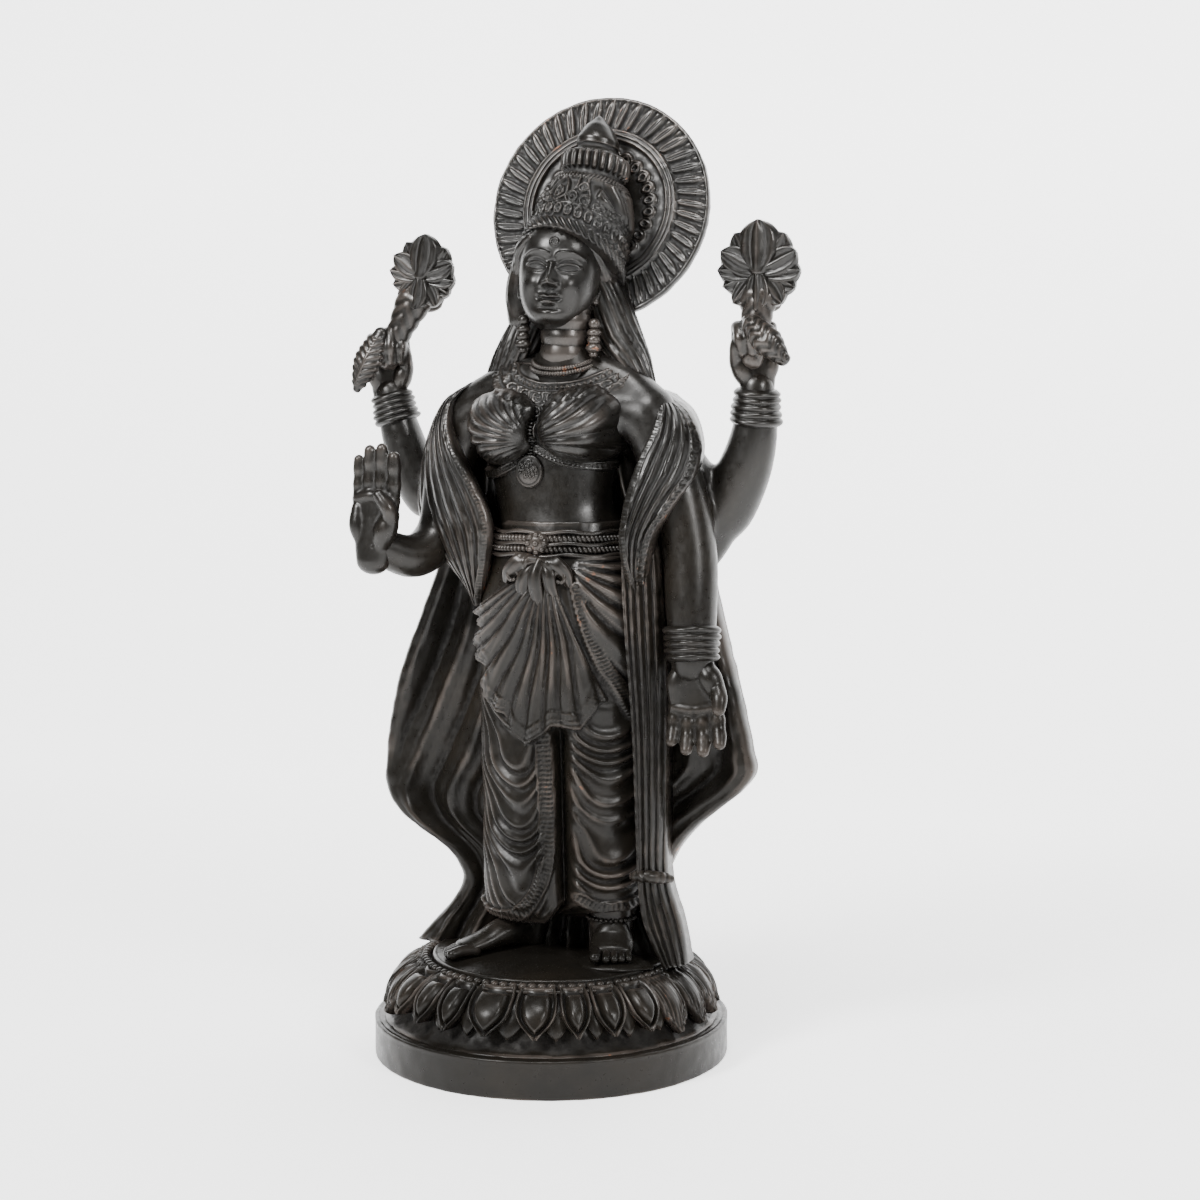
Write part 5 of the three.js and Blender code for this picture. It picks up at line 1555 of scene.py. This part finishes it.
PAPER_GLOW = (1.35, 2.6)
ROOM_GLOW = 0.16
LAMPS = [
    # name, place and aim in metres, size, power
    ("key_left", (-0.5, -1.0, 0.98), (0.0, 0.0, 0.3), 0.42, 26.0),
    ("fill_right", (0.95, -0.6, 0.72), (0.0, 0.0, 0.25), 0.3, 9.0),
    ("top", (0.1, -0.4, 1.15), (0.0, 0.0, 0.34), 0.35, 8.0),
]
# The camera: degrees to the figure's left and down, metres from the axis, over the floor and aside, and the lens
VIEW_AZIMUTH = 20.0
VIEW_PITCH = 5.4
VIEW_DISTANCE = 0.933
VIEW_HEIGHT = 0.280
VIEW_SHIFT = 0.0207
VIEW_LENS = 66.9


def plain(name, colour, roughness, glow=(0.0, 0.0)):
    """A plain surface that glows by the first strength in front of the figure, rising to the second far behind it."""
    material = bpy.data.materials.new(name)
    material.use_nodes = True
    tree = material.node_tree
    shader = tree.nodes["Principled BSDF"]
    shader.inputs["Base Color"].default_value = linear(colour)
    shader.inputs["Roughness"].default_value = roughness
    shader.inputs["Emission Color"].default_value = linear("#ffffff")
    place = node(tree, "ShaderNodeTexCoord").outputs["Object"]
    depth = node(tree, "ShaderNodeSeparateXYZ", [("Vector", place)]).outputs["Y"]
    strength = node(tree, "ShaderNodeMapRange", [("Value", depth)])
    for key, value in (("From Min", 0.1), ("From Max", 1.05), ("To Min", glow[0]), ("To Max", glow[1])):
        strength.inputs[key].default_value = value
    tree.links.new(strength.outputs["Result"], shader.inputs["Emission Strength"])
    return material


def studio():
    """A white sweep under and behind the figure, which glows, and three lamps high in front."""
    bend = [(0.55 + 0.5 * math.sin(a), 0.5 - 0.5 * math.cos(a)) for a in np.linspace(0, math.pi / 2, 40)]
    profile = [(-1.6, 0.0)] + bend + [(1.05, 2.4)]
    verts = [(float(x), float(y), float(z)) for y, z in profile for x in (-2.4, 2.4)]
    faces = [(2 * k, 2 * k + 1, 2 * k + 3, 2 * k + 2) for k in range(len(profile) - 1)]
    mesh = bpy.data.meshes.new("paper_sweep")
    mesh.from_pydata(verts, [], faces)
    mesh.polygons.foreach_set("use_smooth", [True] * len(faces))
    sweep = bpy.data.objects.new("paper_sweep", mesh)
    bpy.context.scene.collection.objects.link(sweep)
    mesh.materials.append(plain("white_paper", PAPER, 0.9, PAPER_GLOW))

    world = bpy.context.scene.world or bpy.data.worlds.new("room")
    bpy.context.scene.world = world
    world.use_nodes = True
    background = world.node_tree.nodes["Background"]
    background.inputs["Color"].default_value = linear(ROOM)
    background.inputs["Strength"].default_value = ROOM_GLOW
    for name, place, target, size, power in LAMPS:
        light = bpy.data.lights.new(name, "AREA")
        light.shape = "DISK"
        light.size = size
        light.energy = power
        lamp = bpy.data.objects.new(name, light)
        lamp.location = place
        lamp.rotation_euler = (Vector(target) - Vector(place)).to_track_quat("-Z", "Y").to_euler()
        bpy.context.scene.collection.objects.link(lamp)


def camera():
    """The photograph's view: from the figure's left of straight ahead, a little down."""
    azimuth, pitch = math.radians(VIEW_AZIMUTH), math.radians(VIEW_PITCH)
    right = Vector((math.cos(azimuth), math.sin(azimuth), 0.0))
    ahead = Vector((-math.sin(azimuth), math.cos(azimuth), 0.0))
    place = -ahead * VIEW_DISTANCE + Vector((0, 0, VIEW_HEIGHT)) + right * VIEW_SHIFT
    look = ahead * math.cos(pitch) + Vector((0, 0, -math.sin(pitch)))
    lens = bpy.data.cameras.new("view")
    lens.sensor_width = 36.0
    lens.lens = VIEW_LENS
    lens.clip_start = 0.05
    eye = bpy.data.objects.new("view", lens)
    up = right.cross(look)
    eye.matrix_world = Matrix((
        (right.x, up.x, -look.x, place.x),
        (right.y, up.y, -look.y, place.y),
        (right.z, up.z, -look.z, place.z),
        (0, 0, 0, 1),
    ))
    bpy.context.scene.collection.objects.link(eye)
    bpy.context.scene.camera = eye


BRONZE = blackened_brass()
for build in (
    plinth, lotus, stage, halo, torso, blouse_piece, neck, bangles, hands, head, crown, hair, earrings, skirt, girdle,
    pendant, shawl, shoulder_drapes, flowers, feet,
):
    build(BRONZE)
studio()
camera()
